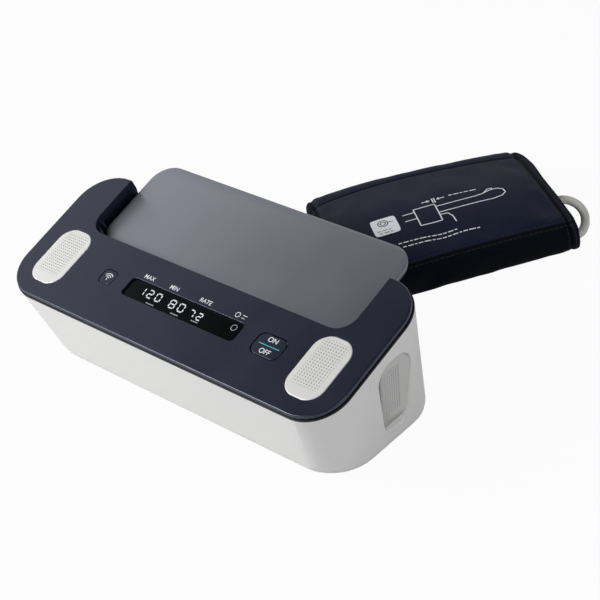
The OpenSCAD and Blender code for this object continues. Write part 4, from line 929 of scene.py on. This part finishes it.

# %% [markdown]
# In the end faces the layers of the fold show one above the other, with painted shade
# in thin dark lines between them.

# %% Folded layers in the end faces
LAYER = 4.4
layers, tree, shader, place = start("cuff_folded_layers_gap_shade", "#14161d", 0.85)
height = add(tree, "SeparateXYZ", {"Vector": place}).outputs["Z"]
count = add(tree, "Math", {0: height, 1: 1 / (LAYER * MM)}, operation="MULTIPLY")
part = add(tree, "Math", {0: count, 1: 1.0}, operation="PINGPONG")
layer_gap_dip_and_shade = add(tree, "MapRange", {"Value": part, "From Min": 0.0, "From Max": 0.22})
# The gaps between the layers get a bump dip and a near black colour, which is painted shade.
tone = add(tree, "Mix", {"Factor": layer_gap_dip_and_shade.outputs["Result"], "A": colour("#030305"),
                         "B": colour("#191b24")}, data_type="RGBA")
tree.links.new(tone.outputs["Result"], shader.inputs["Base Color"])
bump = add(tree, "Bump", {"Height": layer_gap_dip_and_shade.outputs["Result"], "Distance": 0.0006,
                          "Strength": 0.6})
tree.links.new(bump.outputs["Normal"], shader.inputs["Normal"])
cuff.data.materials.append(layers)
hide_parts("cuff_sleeve")
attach(cuff, "cuff")

# %% [markdown]
# ## Prints on the cuff
# The cuff carries white prints that show how it is put on, here a plain picture of an arm
# in a band, rows of small marks and a sewn white patch. Each is drawn flat in the cuff's
# own directions and let down on the swollen cloth: every point drops until it meets it.

# %% Helper that lets a flat drawing down on the cuff
cloth_surface = BVHTree.FromObject(cuff, bpy.context.evaluated_depsgraph_get())


def fine(points, step=1.5):
    """The same line with a point every step or so, so that it can follow the cloth."""
    made = [points[0]]
    for (x0, y0), (x1, y1) in zip(points, points[1:]):
        parts = max(1, round(math.hypot(x1 - x0, y1 - y0) / step))
        made += [(x0 + (x1 - x0) * k / parts, y0 + (y1 - y0) * k / parts)
                 for k in range(1, parts + 1)]
    return made


def let_down(piece, lift):
    """Drops each point of a flat piece on the cuff and keeps its own thickness above it."""
    for v in piece.data.vertices:
        over = CUFF @ Vector((v.co.x, v.co.y, 0))
        hit = cloth_surface.ray_cast(Vector((over.x, over.y, 60 * MM)), Vector((0, 0, -1)))[0]
        v.co = Vector((over.x, over.y, hit.z + v.co.z + lift * MM))
    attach(piece, "cuff")
    print(piece.name, "let down, faces:", len(piece.data.polygons))


# %% The picture of an arm in its band
print_ink = plain("cuff_print_ink", "#e6e8ee", 0.6, (0.5, 0.006, 0.55, 0.7))
hand = [(-40, 38), (-35, 38.6), (-30, 40.6), (-25, 40.8), (-21.5, 38.5), (-21, 34.5),
        (-24, 31.8), (-30, 30.6), (-40, 31)]
thumb = [(-33.5, 39.4), (-30.5, 42.6), (-27.5, 42.4), (-28.5, 40.8)]
arm_lines = [[(-88, 38), (-80, 38)], [(-88, 31), (-80, 31)],
             [(-66, 38), (-40, 38)], [(-66, 31), (-40, 31)], hand, thumb,
             [(-80, 41), (-80, 23), (-66, 23), (-66, 41), (-80, 41)],
             [(-66, 28.5), (-61, 28), (-59, 24), (-58.5, 18)],
             [(-73, 46), (-68, 46)], [(-69.6, 47), (-68, 46), (-69.6, 45)],
             [(-58, 46), (-63, 46)], [(-61.4, 47), (-63, 46), (-61.4, 45)],
             [(-66, 48), (-66, 42.5)], [(-64.6, 48), (-64.6, 42.5)]]
let_down(strokes("cuff_arm_picture", [fine(line) for line in arm_lines], 0.75, print_ink), 0.04)

# %% Rows of small marks
MARKS = (2.2, 3.4, 1.6, 2.8, 4.2, 1.8, 3.0, 2.4)


def row_of_marks(u0, v0, u1, v1, gap=0.9):
    """Short dashes of uneven length along a line, as small marks on the cloth."""
    length, made, at, k = math.hypot(u1 - u0, v1 - v0), [], 0.0, 0
    while at + MARKS[k % len(MARKS)] < length:
        ends = (at / length, (at + MARKS[k % len(MARKS)]) / length)
        made.append(fine([(u0 + (u1 - u0) * e, v0 + (v1 - v0) * e) for e in ends], 0.8))
        at += MARKS[k % len(MARKS)] + gap
        k += 1
    return made


small = row_of_marks(-98, 12.2, -59, 11.2) + row_of_marks(-96, 8.4, -44, 7.4)
small += row_of_marks(-55, 46.4, -37, 45.4)
let_down(strokes("cuff_small_marks", small, 0.85, print_ink), 0.03)

# %% [markdown]
# The patch is a woven white label with rounded corners. A plane with round corners is cut
# into small faces, so that it bends with the cloth, and thickened.

# %% White patch
PATCH_MID, PATCH_SIZE = (-100.8, 32.3), (16.5, 17.6)
patch_cloth = plain("white_woven_patch", "#e4e6ea", 0.75, (0.7, 0.03, 0.7, 0.85))
bpy.ops.mesh.primitive_grid_add(x_subdivisions=14, y_subdivisions=14, size=MM,
                                location=(0, 0, 0))
patch = bpy.context.active_object
patch.name = "cuff_patch"
bpy.ops.object.mode_set(mode="EDIT")
bpy.ops.transform.resize(value=(PATCH_SIZE[0], PATCH_SIZE[1], 1))
bpy.ops.object.mode_set(mode="OBJECT")
for v in patch.data.vertices:
    x, y = (2 * c / (side * MM) for c, side in zip(v.co, PATCH_SIZE))
    pull = 1 - 0.07 * (abs(x * y)) ** 5
    v.co = Vector((v.co.x * pull + PATCH_MID[0] * MM, v.co.y * pull + PATCH_MID[1] * MM, 0))
patch.data.materials.append(patch_cloth)
let_down(patch, 0.12)
only(patch)
thick = patch.modifiers.new("thickness", "SOLIDIFY")
thick.thickness, thick.offset = 0.35 * MM, 1.0
bpy.ops.object.modifier_apply(modifier=thick.name)
bpy.ops.object.shade_smooth_by_angle(angle=math.radians(40))

# %% Marks on the patch: a band round an arm, and two rows
patch_lines = [fine(ring(-101.5, 35.4, 3.2)), fine(ring(-101.5, 35.4, 1.7)),
               fine([(-97.6, 35.4), (-94.8, 35.4)])]
patch_lines += row_of_marks(-107, 28.2, -95, 27.9) + row_of_marks(-106.4, 25.6, -95, 25.3)
let_down(strokes("cuff_patch_marks", patch_lines, 0.7, dark_ink), 0.5)

# %% [markdown]
# ## Light, floor and background
# The photograph is a studio shot on white. Its dark cover mirrors the upper left of the
# studio, and is lighter at its left end than at its right one. So the surroundings are
# bright low down and on the left, and dark overhead, and one large soft lamp from the
# front left lights what faces it, from where the cover doesn't mirror it. A weak one from
# the right keeps the side wall pale.

# %% World: bright near the horizon and on the left, darker overhead
bpy.context.scene.view_settings.view_transform = "Standard"
world = bpy.data.worlds.new("studio")
bpy.context.scene.world = world
world.use_nodes = True
tree = world.node_tree
direction = add(tree, "TexCoord").outputs["Generated"]
parts = add(tree, "SeparateXYZ", {"Vector": direction}).outputs
high = add(tree, "MapRange", {"Value": parts["Z"], "From Min": 0.62, "From Max": 0.79,
                              "To Min": 1.0, "To Max": 0.03}, interpolation_type="SMOOTHSTEP")
left = add(tree, "MapRange", {"Value": parts["X"], "From Min": -1.0, "From Max": 1.0,
                              "To Min": 1.15, "To Max": 0.1})
walls = add(tree, "Math", {0: high.outputs["Result"], 1: left.outputs["Result"]},
            operation="MULTIPLY")
level = add(tree, "MapRange", {"Value": parts["Z"], "From Min": 0.08, "From Max": 0.2,
                               "To Min": 1.0, "To Max": 0.0})
strength = add(tree, "Math", {0: walls, 1: level.outputs["Result"]}, operation="MAXIMUM")
tree.links.new(strength.outputs[0], tree.nodes["Background"].inputs["Strength"])
tree.nodes["Background"].inputs["Color"].default_value = colour("#fbfcff")

# %% Lamps


def lamp(name, at, aim, width, height, watts):
    """A soft rectangular studio lamp that faces a point."""
    data = bpy.data.lights.new(name, "AREA")
    data.shape, data.size, data.size_y, data.energy = "RECTANGLE", width, height, watts
    light = bpy.data.objects.new(name, data)
    light.location = at
    light.rotation_euler = (Vector(aim) - Vector(at)).to_track_quat("-Z", "Y").to_euler()
    bpy.context.collection.objects.link(light)


lamp("front_left", (-0.68, -0.72, 0.8), (-0.05, 0, 0.04), 0.6, 0.6, 13.5)
lamp("right_fill", (1.35, -0.15, 0.6), (0.08, 0.1, 0.04), 0.8, 0.8, 4.5)
print("Lamps:", len(bpy.data.lights))

# %% [markdown]
# The floor is matt white paper. It is a mix of paper that takes the shadow and of plain
# white, which the camera, mirrors and glass see, so the background stays white and the
# light on the object stays plain.

# %% Floor
CAMERA_SHARE, MIRROR_SHARE = 0.96, 0.55
bpy.ops.mesh.primitive_plane_add(size=8, location=(0, 0, -0.0003))
floor = bpy.context.active_object
floor.name = "floor"
floor_paper = bpy.data.materials.new("floor_paper")
floor_paper.use_nodes = True
tree = floor_paper.node_tree
tree.nodes.clear()
path = add(tree, "LightPath").outputs
mirrored = add(tree, "Math", {0: path["Is Glossy Ray"], 1: path["Is Transmission Ray"]},
               operation="MAXIMUM")
in_mirrors = add(tree, "Math", {0: mirrored, 1: MIRROR_SHARE}, operation="MULTIPLY")
in_camera = add(tree, "Math", {0: path["Is Camera Ray"], 1: CAMERA_SHARE}, operation="MULTIPLY")
share = add(tree, "Math", {0: in_camera, 1: in_mirrors}, operation="MAXIMUM")
matt = add(tree, "BsdfDiffuse", {"Color": colour("#b4b4b4")})
glow = add(tree, "Emission", {"Color": colour("#ffffff"), "Strength": 1.0})
pick = add(tree, "MixShader", {0: share, 1: matt, 2: glow})
add(tree, "OutputMaterial", {"Surface": pick})
floor.data.materials.append(floor_paper)
print("Materials:", len(bpy.data.materials))
